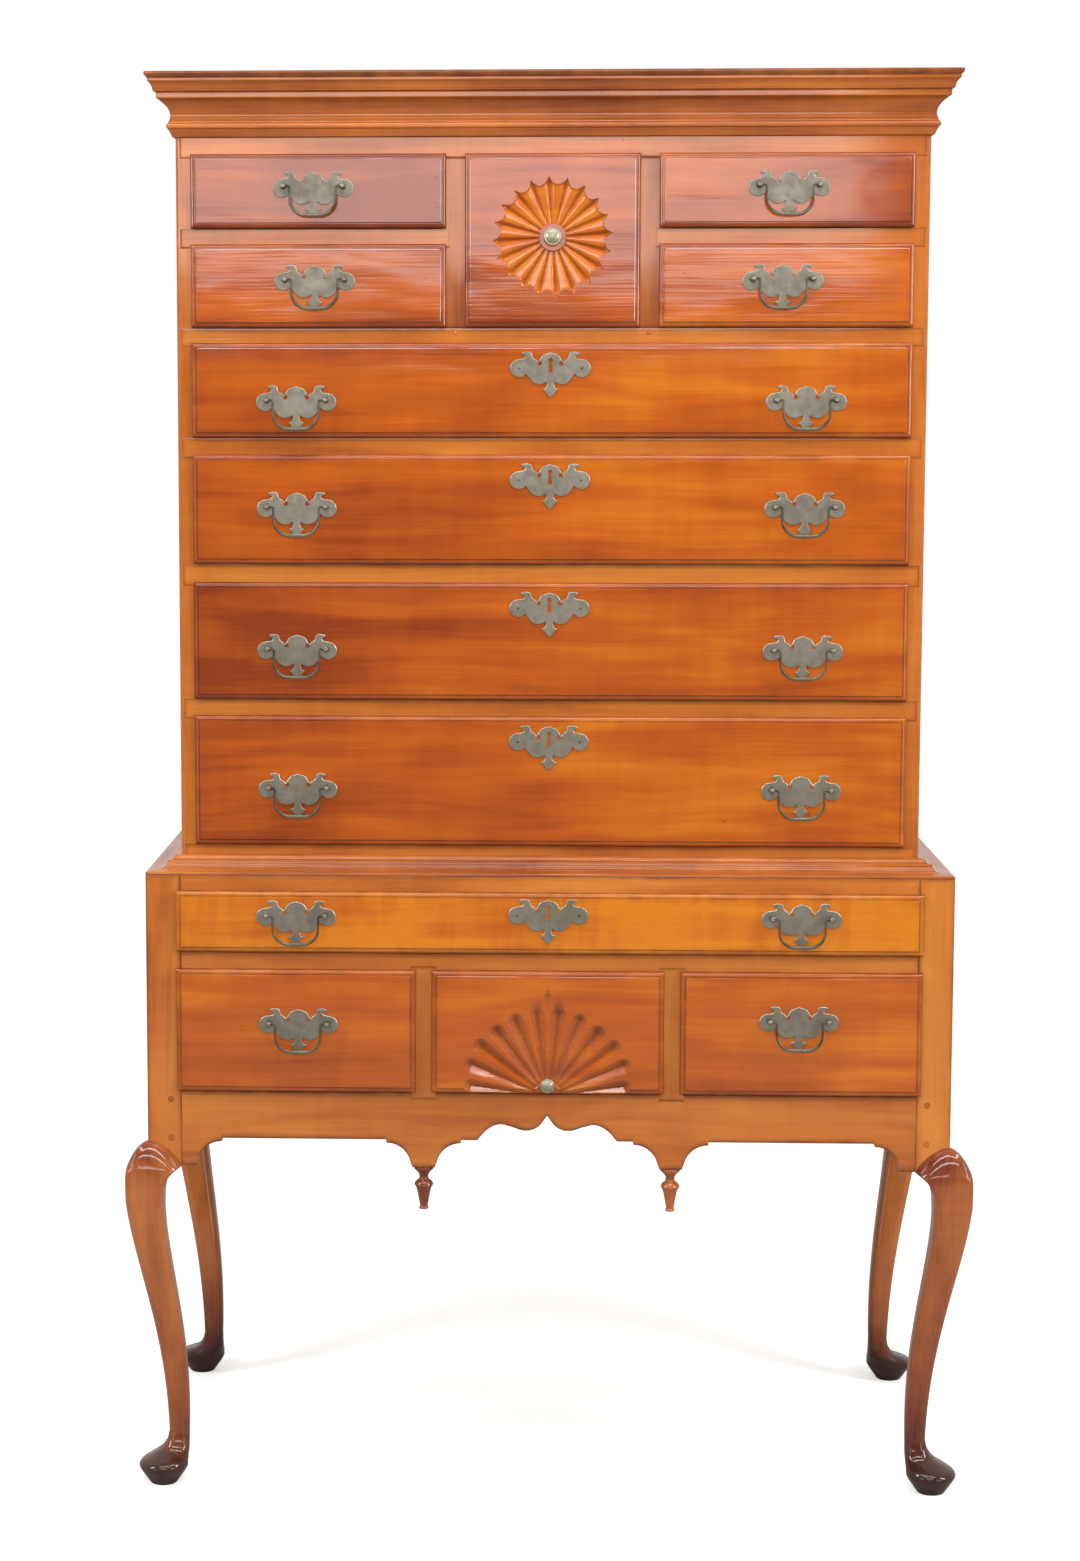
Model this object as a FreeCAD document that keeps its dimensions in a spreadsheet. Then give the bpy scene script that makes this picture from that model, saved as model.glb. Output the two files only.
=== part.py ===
"""A flat-topped maple high chest of drawers: an upper case of nine drawers on a lower case
with four more, standing on four cabriole legs. Millimetres, +X right, +Y back, +Z up; the
origin is on the floor below the middle of the lower case."""

import FreeCAD
import Part
import Sketcher
import math
import os
import re

Vector = FreeCAD.Vector
doc = FreeCAD.newDocument("high_chest")

# ------------------------------------------------------------------ driving dimensions
SIZES = [
    # lower case
    ("lower_width", 965.0, "width over the posts"),
    ("lower_depth", 457.0, "depth over the posts"),
    ("post", 41.5, "side of the square leg posts"),
    ("leg_height", 434.5, "floor to the flat of the front skirt"),
    ("skirt_depth", 59.0, "flat of the skirt to its top edge"),
    ("small_opening", 144.5, "opening height of the three lower drawers"),
    ("lower_mid_rail", 25.5, "rail under the lower long drawer"),
    ("lower_long_opening", 69.0, "opening height of the lower long drawer"),
    ("lower_top_rail", 23.5, "top rail of the lower case"),
    ("muntin_width", 29.0, "upright between two lower drawers"),
    ("muntin_offset", 148.75, "middle of the case to the middle of a muntin"),
    ("muntin_depth", 18.0, "muntin from front to back"),
    ("muntin_lap", 9.0, "length of the lap at each end of a muntin"),
    ("skirt_thickness", 22.0, "front skirt board"),
    ("lower_side_thickness", 20.0, "side boards of the lower case"),
    ("lower_back_thickness", 18.0, "back board of the lower case"),
    ("tenon_length", 20.0, "tenons into the posts"),
    ("tenon_thickness", 9.0, "tenons of the boards"),
    ("tenon_shoulder", 6.0, "board above and below its tenon"),
    ("rail_tenon_height", 14.0, "tenons of the rails, from bottom to top"),
    ("joint_clearance", 0.1, "play all round a tenon"),
    ("peg_inset", 28.5, "side of the case to the middle of a peg"),
    ("peg_drop", 11.5, "top edge of the skirt to the upper pegs"),
    # skirt outline
    ("bracket_drop", 34.0, "flat of the skirt down to the plinths"),
    ("bracket_radius", 30.0, "hollow beside a plinth"),
    ("plinth_width", 30.0, "plinth over a turned drop"),
    ("end_plinth_width", 18.0, "foot of the skirt beside a leg"),
    ("arch_half_width", 84.0, "middle of the skirt to the end of the cyma arch"),
    ("arch_rise", 31.0, "flat of the skirt to the point of the arch"),
    # cabriole legs
    ("knee_drop", 74.5, "flat of the skirt down to the widest part of the knee"),
    ("knee_reach", 25.8, "knee beyond the faces of the case"),
    ("knee_width", 45.5, "width of the leg at the knee"),
    ("knee_start", 4.0, "flat of the skirt down to where a knee leaves the corner of its post"),
    ("knee_sweep", 30.0, "height over which a knee widens to both edges of its post"),
    ("knee_gap", 0.3, "knee to the ends of the skirt and the side boards"),
    ("ankle_height", 60.0, "floor to the ankle"),
    ("ankle_width", 24.6, "width of the leg at the ankle"),
    ("ankle_inset", 31.7, "face of the case to the middle of the ankle"),
    ("pad_radius", 30.0, "radius of the pad foot"),
    ("pad_height", 23.5, "floor to the rim of the pad"),
    ("pad_inset", 13.8, "face of the case to the middle of the pad"),
    ("pad_sole_radius", 16.5, "radius of the sole"),
    # turned drops
    ("drop_length", 54.0, "plinth to the tip of a turned drop"),
    ("drop_radius", 12.4, "collar of a drop"),
    ("drop_pin_radius", 5.0, "pin of a drop in its plinth"),
    ("drop_pin_length", 20.0, "pin of a drop"),
    # upper case
    ("side_ledge", 39.5, "upper case in from each side of the lower"),
    ("setback", 38.0, "upper case behind the front of the lower"),
    ("upper_side_thickness", 22.5, "side boards of the upper case"),
    ("upper_board_thickness", 17.0, "top and bottom boards of the upper case"),
    ("lower_board_thickness", 16.0, "board that the upper case stands on"),
    ("upper_back_thickness", 12.0, "back boards of the upper case"),
    ("back_rebate", 11.0, "depth of the rebate that holds the back boards"),
    ("rail_depth", 60.0, "upper rails from front to back"),
    ("rail_housing", 18.0, "end of an upper rail let into the side"),
    ("board_housing", 9.0, "end of the upper top and bottom boards let into the side"),
    ("base_rail", 32.5, "bottom rail of the upper case"),
    ("fourth_opening", 151.5, "opening height of the fourth long drawer"),
    ("fourth_rail", 24.5, "rail over the fourth long drawer"),
    ("third_opening", 135.5, "opening height of the third long drawer"),
    ("third_rail", 26.5, "rail over the third long drawer"),
    ("second_opening", 125.5, "opening height of the second long drawer"),
    ("second_rail", 24.5, "rail over the second long drawer"),
    ("first_opening", 107.0, "opening height of the first long drawer"),
    ("first_rail", 22.5, "rail over the first long drawer"),
    ("low_small_opening", 93.0, "opening height of the lower small drawers"),
    ("small_rail", 23.0, "rail between the small drawers"),
    ("top_small_opening", 82.0, "opening height of the top small drawers"),
    ("frieze_height", 98.5, "top board of the front, behind the cornice"),
    ("divider_width", 32.0, "upright beside the square drawer"),
    ("divider_offset", 114.25, "middle of the bay to the middle of a divider"),
    ("divider_depth", 22.0, "divider from front to back"),
    ("divider_tenon", 12.0, "tenon at each end of a divider"),
    ("divider_lap", 9.0, "end of a small rail let into a divider"),
    ("bay_shift", 1.75, "square drawer right of the middle"),
    # mouldings
    ("cornice_height", 74.5, "height of the cornice"),
    ("cornice_reach", 33.0, "cornice beyond the faces of the upper case"),
    ("waist_height", 20.0, "height of the moulding round the foot of the upper case"),
    # drawers
    ("lip_overlap", 5.0, "drawer lip over the case at the top and sides"),
    ("lip_proud", 9.0, "face of a drawer before the face of the case"),
    ("lip_gap", 0.3, "lip to the face of the case"),
    ("field_rise", 1.2, "flat field above the thumbnail moulding"),
    ("lip_round", 4.5, "radius of the thumbnail moulding"),
    ("lip_fillet", 1.5, "thumbnail moulding to the flat field"),
    ("front_depth", 13.0, "drawer front behind the face of the case"),
    ("front_web", 3.0, "drawer front before the laps of its sides"),
    ("drawer_side_gap", 1.0, "drawer to the sides of its opening"),
    ("drawer_top_gap", 2.5, "drawer to the top of its opening"),
    ("seat_gap", 0.3, "drawer above its runners"),
    ("drawer_side", 11.0, "thickness of the drawer sides"),
    ("drawer_back", 10.0, "thickness of the drawer backs"),
    ("drawer_bottom", 8.0, "thickness of the drawer bottoms"),
    ("bottom_raise", 6.0, "drawer bottom above the foot of its sides"),
    ("bottom_groove", 5.0, "depth of the groove that holds a drawer bottom"),
    ("drawer_rear_gap", 9.0, "drawer to the back boards"),
    ("back_drop", 6.0, "drawer back below the top of its sides"),
    ("runner_width", 26.0, "runners at the sides"),
    ("runner_height", 18.0, "runners from bottom to top"),
    ("middle_runner_width", 66.0, "runner that carries two drawers"),
    ("guide_width", 18.0, "guide strips between two drawers"),
    ("guide_height", 20.0, "guide strips"),
    # carving
    ("pinwheel_radius", 70.0, "radius of the carved pinwheel"),
    ("pinwheel_boss_radius", 16.0, "boss of the pinwheel"),
    ("fan_radius", 105.0, "radius of the carved fan"),
    ("fan_boss_radius", 20.0, "boss of the fan"),
    ("pinwheel_rise", 3.5, "middle of the pinwheel above the middle of its drawer front"),
    ("fan_knob_height", 12.7, "foot of the fan drawer to its knob"),
    ("fan_drop", 3.0, "middle of the fan below the foot of its drawer front"),
    ("carving_depth", 3.0, "depth of the carved grooves"),
    # brasses
    ("post_spacing", 70.0, "distance between the two posts of a pull"),
    ("lobe_outset", 2.0, "post to the middle of its side lobe"),
    ("post_rise", 2.5, "posts above the middle of the side lobes"),
    ("plate_thickness", 1.5, "brass plates"),
    ("lobe_radius", 10.6, "side lobes of a plate"),
    ("plate_drop", 35.0, "side lobes down to the tip of a plate"),
    ("plate_rise", 18.9, "side lobes up to the dome of a plate"),
    ("pierced_radius", 2.6, "two pierced holes of a plate"),
    ("pierced_offset", 12.9, "middle of a plate to a pierced hole"),
    ("pierced_rise", 5.8, "side lobes up to the pierced holes"),
    ("shank_radius", 2.0, "screwed shank of a post"),
    ("stem_radius", 2.4, "post before its plate"),
    ("ball_radius", 3.4, "ball head of a post"),
    ("ball_reach", 11.0, "face of a drawer to the middle of a ball head"),
    ("nut_radius", 5.0, "nuts inside a drawer"),
    ("nut_height", 3.0, "nuts inside a drawer"),
    ("bail_drop", 31.6, "side lobes down to the grip of a bail"),
    ("bail_half_width", 27.2, "middle of a bail to its arms"),
    ("bail_wire_radius", 1.3, "wire of a bail at its pins"),
    ("bail_grip_radius", 2.3, "wire of a bail at its grip"),
    ("bail_elbow", 2.1, "bend of a bail beside its pins"),
    ("bail_corner", 19.0, "radius of the bends of a bail"),
    ("pin_clearance", 0.05, "bail pin in its post"),
    ("knob_radius", 9.5, "brass knobs"),
    ("knob_reach", 15.0, "face of a drawer to the top of a knob"),
    ("knob_screw", 15.0, "screw of a knob in its drawer front"),
    ("lock_width", 62.0, "lock cases"),
    ("lock_height", 30.0, "lock cases"),
    ("lock_thickness", 9.0, "lock cases"),
    ("lock_rise", 14.0, "side lobes up to the top of a lock case"),
    ("lock_wall", 1.0, "back wall of a lock case"),
    ("key_pin_radius", 1.0, "pin that a key turns on"),
    ("keyhole_radius", 2.9, "round of a keyhole"),
    ("keyhole_rise", 9.5, "side lobes up to the round of a keyhole"),
    ("keyhole_slot", 14.5, "round of a keyhole down to its foot"),
    ("keyhole_width", 3.4, "slot of a keyhole"),
    ("tack_radius", 0.9, "tacks of the escutcheons"),
    ("tack_length", 8.0, "tacks of the escutcheons"),
    ("peg_radius", 4.0, "wooden pegs in the joints"),
    ("peg_length", 22.0, "wooden pegs in the joints"),
    # places of the pulls, from the middle of the drawer and the foot of its opening
    ("long_pull_offset", 301.0, "middle of a long drawer to each pull"),
    ("first_pull_height", 42.2, "first long drawer"),
    ("second_pull_height", 66.5, "second long drawer"),
    ("third_pull_height", 59.2, "third long drawer"),
    ("fourth_pull_height", 67.8, "fourth long drawer"),
    ("lower_pull_height", 44.0, "lower long drawer"),
    ("lower_left_pull_height", 83.2, "lower left drawer"),
    ("lower_right_pull_height", 90.0, "lower right drawer"),
    ("low_small_pull_height", 54.0, "lower small drawers of the upper case"),
    ("top_small_pull_height", 46.5, "top small drawers"),
    ("top_left_shift", -5.5, "middle of the top left drawer to its pull"),
    ("top_right_shift", 1.7, "middle of the top right drawer to its pull"),
    ("second_left_shift", -3.9, "middle of the second left drawer to its pull"),
    ("second_right_shift", -4.6, "middle of the second right drawer to its pull"),
    ("lower_left_shift", 3.4, "middle of the lower left drawer to its pull"),
    ("lower_right_shift", -2.7, "middle of the lower right drawer to its pull"),
    ("escutcheon_drop", 25.2, "top of an opening down to the lobes of its escutcheon"),
    ("lower_escutcheon_drop", 21.5, "the same on the lower long drawer"),
]

sheet = doc.addObject("Spreadsheet::Sheet", "sizes")
for row, (alias, number, meaning) in enumerate(SIZES, 1):
    sheet.set(f"A{row}", meaning)
    sheet.set(f"B{row}", str(number))
    sheet.setAlias(f"B{row}", alias)
doc.recompute()
size = {alias: float(sheet.get(alias)) for alias, number, meaning in SIZES}


def bound(text):
    """The text as an expression over the sheet: each alias in it becomes that cell."""
    return re.sub(r"[a-z][a-z_]+", lambda word: "sizes." + word.group(), str(text))


def bind(piece, **places):
    """Tie properties of a piece to expressions; x, y and z are its place."""
    axes = {"x": "Placement.Base.x", "y": "Placement.Base.y", "z": "Placement.Base.z"}
    for name, text in places.items():
        piece.setExpression(axes.get(name, name), bound(text))
    return piece


# ------------------------------------------------------------------ how pieces are made
def board(name, middle, front, foot, width, depth, height):
    """A board by the middle of its width, its front face, its foot and its three sizes."""
    piece = doc.addObject("Part::Box", name)
    bind(piece, Length=width, Width=depth, Height=height)
    return bind(piece, x=f"({middle}) - ({width}) / 2", y=front, z=foot)


def roomy(place, play="joint_clearance"):
    """The place of a board grown by a little play on every side, for the hole it fits."""
    middle, front, foot, width, depth, height = place
    return (middle, f"({front}) - {play}", f"({foot}) - {play}",
            f"({width}) + 2 * {play}", f"({depth}) + 2 * {play}", f"({height}) + 2 * {play}")


def joined(name, pieces):
    """One solid from several that meet."""
    piece = doc.addObject("Part::MultiFuse", name)
    piece.Shapes = pieces
    return piece


def together(name, pieces):
    """Separate solids kept as one group."""
    group = doc.addObject("Part::Compound", name)
    group.Links = pieces
    return group


def carved(name, base, tools):
    """A piece with its holes, grooves and mortises cut."""
    piece = doc.addObject("Part::Cut", name)
    piece.Base = base
    piece.Tool = tools[0] if len(tools) == 1 else joined(name + "_tools", tools)
    return piece


def formed(name, shape, x="0", y="0", z="0"):
    """A piece of free shape, made round its own origin and then put in its place."""
    piece = doc.addObject("Part::Feature", name)
    piece.Shape = shape
    return bind(piece, x=x, y=y, z=z)


def bore(name, x, y, z, radius, depth):
    """A round hole from a front face backwards."""
    piece = doc.addObject("Part::Cylinder", name)
    piece.Placement = FreeCAD.Placement(Vector(), FreeCAD.Rotation(Vector(1, 0, 0), -90))
    return bind(piece, Radius=radius, Height=depth, x=x, y=y, z=z)


def turned(name, outline):
    """A body turned about Z from a closed outline of (radius, height) expressions."""
    body = doc.addObject("PartDesign::Body", name)
    plane = next(f for f in body.Origin.OriginFeatures if f.Role == "XZ_Plane")
    sketch = body.newObject("Sketcher::SketchObject", name + "_outline")
    sketch.AttachmentSupport = [(plane, "")]
    sketch.MapMode = "FlatFace"
    numbers = [(number_of(radius), number_of(height)) for radius, height in outline]
    count = len(outline)
    for n in range(count):
        start, end = numbers[n], numbers[(n + 1) % count]
        line = Part.LineSegment(Vector(start[0], start[1], 0), Vector(end[0], end[1], 0))
        sketch.addGeometry(line, False)
    for n, (radius, height) in enumerate(outline):
        sketch.addConstraint(Sketcher.Constraint("Coincident", n, 2, (n + 1) % count, 1))
    for n, (radius, height) in enumerate(outline):
        for kind, axis, text, number in (("DistanceX", -2, radius, numbers[n][0]),
                                         ("DistanceY", -1, height, numbers[n][1])):
            if text == "0":
                sketch.addConstraint(Sketcher.Constraint("PointOnObject", n, 1, axis))
                continue
            mark = sketch.addConstraint(Sketcher.Constraint(kind, -1, 1, n, 1, number))
            sketch.setExpression(f"Constraints[{mark}]", bound(text))
    spin = body.newObject("PartDesign::Revolution", name + "_turning")
    spin.Profile = sketch
    spin.ReferenceAxis = (sketch, ["V_Axis"])
    spin.Angle = 360.0
    return body


def number_of(text):
    """The value of a product or sum of sizes and numbers, term by term."""
    total = 0.0
    for sign, term in re.findall(r"([+-]?)\s*([^+-]+)", text):
        value = 1.0
        for factor in term.split("*"):
            factor = factor.strip()
            value *= size[factor] if factor in size else float(factor)
        total += -value if sign == "-" else value
    return total


NODES = {}


def node(name, piece):
    """Name a finished piece or group; its label names its file."""
    piece.Label = name
    NODES[name] = piece
    return piece


# ------------------------------------------------------------------ levels and planes
skirt_top = "(leg_height + skirt_depth)"
mid_rail_foot = f"({skirt_top} + small_opening)"
mid_rail_top = f"({mid_rail_foot} + lower_mid_rail)"
lower_rail_foot = f"({mid_rail_top} + lower_long_opening)"
lower_top = f"({lower_rail_foot} + lower_top_rail)"

fourth_foot = f"({lower_top} + base_rail)"
fourth_head = f"({fourth_foot} + fourth_opening)"
third_foot = f"({fourth_head} + fourth_rail)"
third_head = f"({third_foot} + third_opening)"
second_foot = f"({third_head} + third_rail)"
second_head = f"({second_foot} + second_opening)"
first_foot = f"({second_head} + second_rail)"
first_head = f"({first_foot} + first_opening)"
small_foot = f"({first_head} + first_rail)"
small_head = f"({small_foot} + low_small_opening)"
top_foot = f"({small_head} + small_rail)"
top_head = f"({top_foot} + top_small_opening)"
upper_top = f"({top_head} + frieze_height)"

lower_front = "(0 - lower_depth / 2)"
lower_back = "(lower_depth / 2)"
upper_front = f"({lower_front} + setback)"
upper_depth = "(lower_depth - setback)"
upper_back = f"({lower_back} - upper_back_thickness)"
lower_inside = "(lower_width - 2 * post)"
upper_width = "(lower_width - 2 * side_ledge)"
upper_inside = f"({upper_width} - 2 * upper_side_thickness)"

# ------------------------------------------------------------------ cabriole legs
KNEE_STATIONS = (0.01, 0.07, 0.2, 0.5, 1.0)
KNEE_TURNS = ((0.15, 0.25), (0.32, 0.66), (0.54, 0.93), (0.77, 1.0))
KNEE_ROUND = (0.6, 9.0)   # corner radius at the top of the knee and at its widest part
CORNER_CUT = 0.6          # how far a rounding takes back the sharp outer corner, in radii
SHIN_STATIONS = (0.0, 0.12, 0.24, 0.4, 0.56, 0.72, 0.86, 1.0)
FOOT_STATIONS = ((0.36, 0.11), (0.63, 0.38), (0.76, 0.67), (0.9, 0.935), (1.0, 1.0))


def rounded_corners(corners, radius, level):
    """A closed wire of four sides through four corners, rounded by arcs."""
    edges = []
    marks = []
    for n, corner in enumerate(corners):
        here = Vector(corner[0], corner[1], level)
        before = Vector(*corners[n - 1], level) - here
        after = Vector(*corners[(n + 1) % 4], level) - here
        half = before.getAngle(after) / 2
        back = radius / math.tan(half)
        inward = (before.normalize() + after.normalize()).normalize()
        middle = here + inward * (radius / math.sin(half) - radius)
        marks.append((here + before * back, middle, here + after * back))
    for n, (start, middle, end) in enumerate(marks):
        edges.append(Part.Arc(start, middle, end).toShape())
        edges.append(Part.LineSegment(end, marks[(n + 1) % 4][0]).toShape())
    return Part.Wire(edges)


def kite(outward, inner, swell, radius, level):
    """Section of the knee: outer corner pushed out, inner corner kept, side corners swollen."""
    corners = [(-outward, -outward), (inner, -swell), (inner, inner), (-swell, inner)]
    return rounded_corners(corners, radius, level)


def cabriole():
    """The leg below its post, round the corner of the case, growing towards +X and +Y. The knee
    swells from the corner of the post; below it a squarish section thins down to the ankle."""
    start = size["leg_height"] - size["knee_start"]
    knee, ankle = size["leg_height"] - size["knee_drop"], size["ankle_height"]
    post, reach, half_knee = size["post"] - size["knee_gap"], size["knee_reach"], size["knee_width"] / 2
    inset_knee = half_knee - reach
    half_ankle = size["ankle_width"] / 2
    sweep_foot = start - size["knee_sweep"]

    def knee_section(level, wide, turn):
        """wide is how much of the post the knee covers; turn then draws its width in."""
        share = (start - level) / (start - knee)
        radius = KNEE_ROUND[0] + (KNEE_ROUND[1] - KNEE_ROUND[0]) * share
        outward = (reach + CORNER_CUT * radius * (1 - turn)) * (1 - (1 - share) ** 3) ** 0.64
        inner = post * wide + (2 * half_knee - reach - post) * turn
        return kite(outward, inner, outward * turn, radius, level)

    top = [knee_section(start - share * size["knee_sweep"], math.sqrt(share), 0.0)
           for share in KNEE_STATIONS]
    shin = [top[-1]]
    for share, turn in KNEE_TURNS:
        shin.append(knee_section(sweep_foot + (knee - sweep_foot) * share, 1.0, turn))
    for share in SHIN_STATIONS:
        bend = (1 - math.cos(math.pi * share ** 0.77)) / 2
        middle = inset_knee + (size["ankle_inset"] - inset_knee) * bend
        half = half_knee + (half_ankle - half_knee) * share ** 0.8
        shin.append(square(middle, half, 0.42 + 0.3 * share, knee + (ankle - knee) * share))
    foot = [shin[-1]]
    for share, spread in FOOT_STATIONS:
        middle = size["ankle_inset"] + (size["pad_inset"] - size["ankle_inset"]) * spread
        half = half_ankle + (size["pad_radius"] - half_ankle) * spread
        level = ankle + (size["pad_height"] - ankle) * share
        foot.append(square(middle, half, 0.72 + 0.24 * spread, level))
    shape = Part.makeLoft(top, True, False)
    shape = shape.fuse([Part.makeLoft(shin, True, False), Part.makeLoft(foot, True, False)])
    pad = Part.makeCone(size["pad_sole_radius"], size["pad_radius"], size["pad_height"])
    pad.translate(Vector(size["pad_inset"], size["pad_inset"], 0))
    return shape.fuse(pad)


def square(middle, half, roundness, level):
    """A rounded square section about the diagonal of the corner."""
    low, high = middle - half, middle + half
    corners = [(low, low), (high, low), (high, high), (low, high)]
    return rounded_corners(corners, roundness * half, level)


leg_shape = cabriole()
post_foot = "(leg_height - knee_start - knee_sweep)"
side_tenon_depth = "(lower_depth - 2 * post)"
side_tenon_height = "(skirt_depth + small_opening + lower_mid_rail + lower_long_opening)"
LEGS = {"front_left": (-1, -1), "front_right": (1, -1), "back_left": (-1, 1), "back_right": (1, 1)}


def tenon_places(right, back):
    """Every tenon that enters one post, as the places of the tenons."""
    middle = f"{right} * ({lower_inside} + tenon_length) / 2"
    side_x = f"{right} * (lower_width - lower_side_thickness) / 2"
    side_y = f"{lower_back} - post" if back > 0 else f"{lower_front} + post - tenon_length"
    places = [(side_x, side_y, "(leg_height + tenon_shoulder)", "tenon_thickness", "tenon_length",
               f"{side_tenon_height} - 2 * tenon_shoulder")]
    if back > 0:
        rear = f"{lower_back} - lower_back_thickness / 2 - tenon_thickness / 2"
        places.append((middle, rear, "(leg_height + 2 * tenon_shoulder)", "tenon_length",
                       "tenon_thickness", f"{side_tenon_height} - 4 * tenon_shoulder"))
        return places
    front = f"{lower_front} + skirt_thickness / 2 - tenon_thickness / 2"
    rail_front = f"{lower_front} + (post - 2 * tenon_thickness) / 2"
    places.append((middle, front, "(leg_height - 2 * tenon_shoulder)", "tenon_length",
                   "tenon_thickness", "skirt_depth + tenon_shoulder"))
    for foot, height in ((mid_rail_foot, "lower_mid_rail"), (lower_rail_foot, "lower_top_rail")):
        places.append((middle, rail_front, f"{foot} + ({height} - rail_tenon_height) / 2",
                       "tenon_length", "2 * tenon_thickness", "rail_tenon_height"))
    return places


pegs = []
for corner, (right, back) in LEGS.items():
    shape = leg_shape.copy()
    if right > 0:
        shape = shape.mirror(Vector(), Vector(1, 0, 0))
    if back > 0:
        shape = shape.mirror(Vector(), Vector(0, 1, 0))
    edge_y = lower_back if back > 0 else lower_front
    cabriole_piece = formed(corner + "_cabriole", shape, f"{right} * lower_width / 2", edge_y)
    post_y = f"{lower_back} - post" if back > 0 else lower_front
    post_piece = board(corner + "_post", f"{right} * (lower_width - post) / 2", post_y, post_foot,
                       "post", "post", f"{lower_top} - {post_foot}")
    cuts = [board(f"{corner}_mortise_{n}", *roomy(place))
            for n, place in enumerate(tenon_places(right, back))]
    if back < 0:
        for n, level in enumerate((f"{skirt_top} - peg_drop", "leg_height")):
            place = (f"{right} * (lower_width / 2 - peg_inset)", lower_front, level)
            cuts.append(bore(f"{corner}_peg_hole_{n}", place[0], f"{place[1]} - 1", place[2],
                             "peg_radius + joint_clearance", "peg_length + 1"))
            pegs.append(bore(f"{corner}_peg_{n}", *place, "peg_radius", "peg_length"))
    leg = joined(corner + "_whole", [post_piece, cabriole_piece])
    node(corner + "_leg", carved(corner + "_leg", leg, cuts))


# ------------------------------------------------------------------ front skirt and sides
ARCH = ((1.0, 0.0), (0.9, 0.32), (0.8, 0.53), (0.68, 0.64), (0.53, 0.56), (0.32, 0.4),
        (0.19, 0.46), (0.095, 0.64), (0.045, 0.82), (0.0, 1.0))


def curve(points):
    """A smooth curve through points."""
    line = Part.BSplineCurve()
    line.interpolate([Vector(*point) for point in points])
    return line.toShape()


def lines(points):
    """Straight edges from point to point."""
    return [Part.LineSegment(Vector(*a), Vector(*b)).toShape() for a, b in zip(points, points[1:])]


def bracket(x, toward, foot):
    """A hollow quarter round and its step, from the plinth's edge up to the flat."""
    radius, flat = size["bracket_radius"], foot + size["bracket_drop"]
    lean = radius * math.sqrt(0.5)
    start = Vector(x, 0, foot)
    middle = Vector(x + toward * (radius - lean), 0, foot + lean)
    end = Vector(x + toward * radius, 0, foot + radius)
    step = Vector(x + toward * radius, 0, flat)
    return [Part.Arc(start, middle, end).toShape(), Part.LineSegment(end, step).toShape()]


def skirt_shape():
    """Front skirt between the posts: brackets at its ends, two plinths and a cyma arch."""
    half = (size["lower_width"] - 2 * size["post"]) / 2
    flat, foot = size["bracket_drop"], 0.0
    top = flat + size["skirt_depth"]
    end_plinth = half - size["end_plinth_width"]
    inner = size["muntin_offset"] - size["plinth_width"] / 2
    outer = size["muntin_offset"] + size["plinth_width"] / 2
    radius, arch, rise = size["bracket_radius"], size["arch_half_width"], size["arch_rise"]
    right = lines([(half, 0, top), (half, 0, foot), (end_plinth, 0, foot)])
    right += bracket(end_plinth, -1, foot)
    right += lines([(end_plinth - radius, 0, flat), (outer + radius, 0, flat)])
    right += bracket(outer, 1, foot)
    right += lines([(outer, 0, foot), (inner, 0, foot)])
    right += bracket(inner, -1, foot)
    right += lines([(inner - radius, 0, flat), (arch, 0, flat)])
    right.append(curve([(arch * x, 0, flat + rise * z) for x, z in ARCH]))
    left = [edge.mirror(Vector(), Vector(1, 0, 0)) for edge in right]
    top_edge = lines([(-half, 0, top), (half, 0, top)])
    outline = Part.Wire(Part.__sortEdges__(right + left + top_edge))
    return Part.Face(outline).extrude(Vector(0, size["skirt_thickness"], 0))


skirt_foot = "(leg_height - bracket_drop)"
skirt = formed("skirt_board", skirt_shape(), "0", lower_front, skirt_foot)
skirt_parts = [skirt]
for right in (-1, 1):
    skirt_parts.append(board(f"skirt_tenon_{right}", *tenon_places(right, -1)[1]))
skirt_cuts = []
for right in (-1, 1):
    lap = (f"{right} * muntin_offset", lower_front, f"{skirt_top} - muntin_lap",
           "muntin_width", "muntin_depth", "muntin_lap + 1")
    skirt_cuts.append(board(f"skirt_lap_{right}", lap[0], f"{lap[1]} - 1", *lap[2:4],
                            "muntin_depth + 1 + joint_clearance", lap[5]))
    hole = doc.addObject("Part::Cylinder", f"drop_hole_{right}")
    bind(hole, Radius="drop_pin_radius + joint_clearance", Height="drop_pin_length + 1",
         x=f"{right} * muntin_offset", y=f"{lower_front} + skirt_thickness / 2", z=skirt_foot)
    skirt_cuts.append(hole)
    for n, level in enumerate((f"{skirt_top} - peg_drop", "leg_height")):
        skirt_cuts.append(bore(f"skirt_peg_hole_{right}_{n}", f"{right} * (lower_width / 2 - peg_inset)",
                               f"{lower_front} - 1", level, "peg_radius + joint_clearance",
                               "peg_length + 1"))
node("front_skirt", carved("front_skirt", joined("skirt_whole", skirt_parts), skirt_cuts))

DROP = [("0", "drop_pin_length"), ("drop_pin_radius", "drop_pin_length"), ("drop_pin_radius", "0"),
        ("drop_radius", "0"), ("0.94 * drop_radius", "-0.07 * drop_length"),
        ("0.42 * drop_radius", "-0.24 * drop_length"), ("0.7 * drop_radius", "-0.34 * drop_length"),
        ("0.92 * drop_radius", "-0.42 * drop_length"), ("0.75 * drop_radius", "-0.49 * drop_length"),
        ("0.37 * drop_radius", "-0.92 * drop_length"), ("0.46 * drop_radius", "-0.95 * drop_length"),
        ("0.46 * drop_radius", "-0.98 * drop_length"), ("0", "-1 * drop_length")]
drops = []
for right in (-1, 1):
    drop = turned(f"drop_{right}", DROP)
    bind(drop, x=f"{right} * muntin_offset", y=f"{lower_front} + skirt_thickness / 2", z=skirt_foot)
    drops.append(drop)
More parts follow.
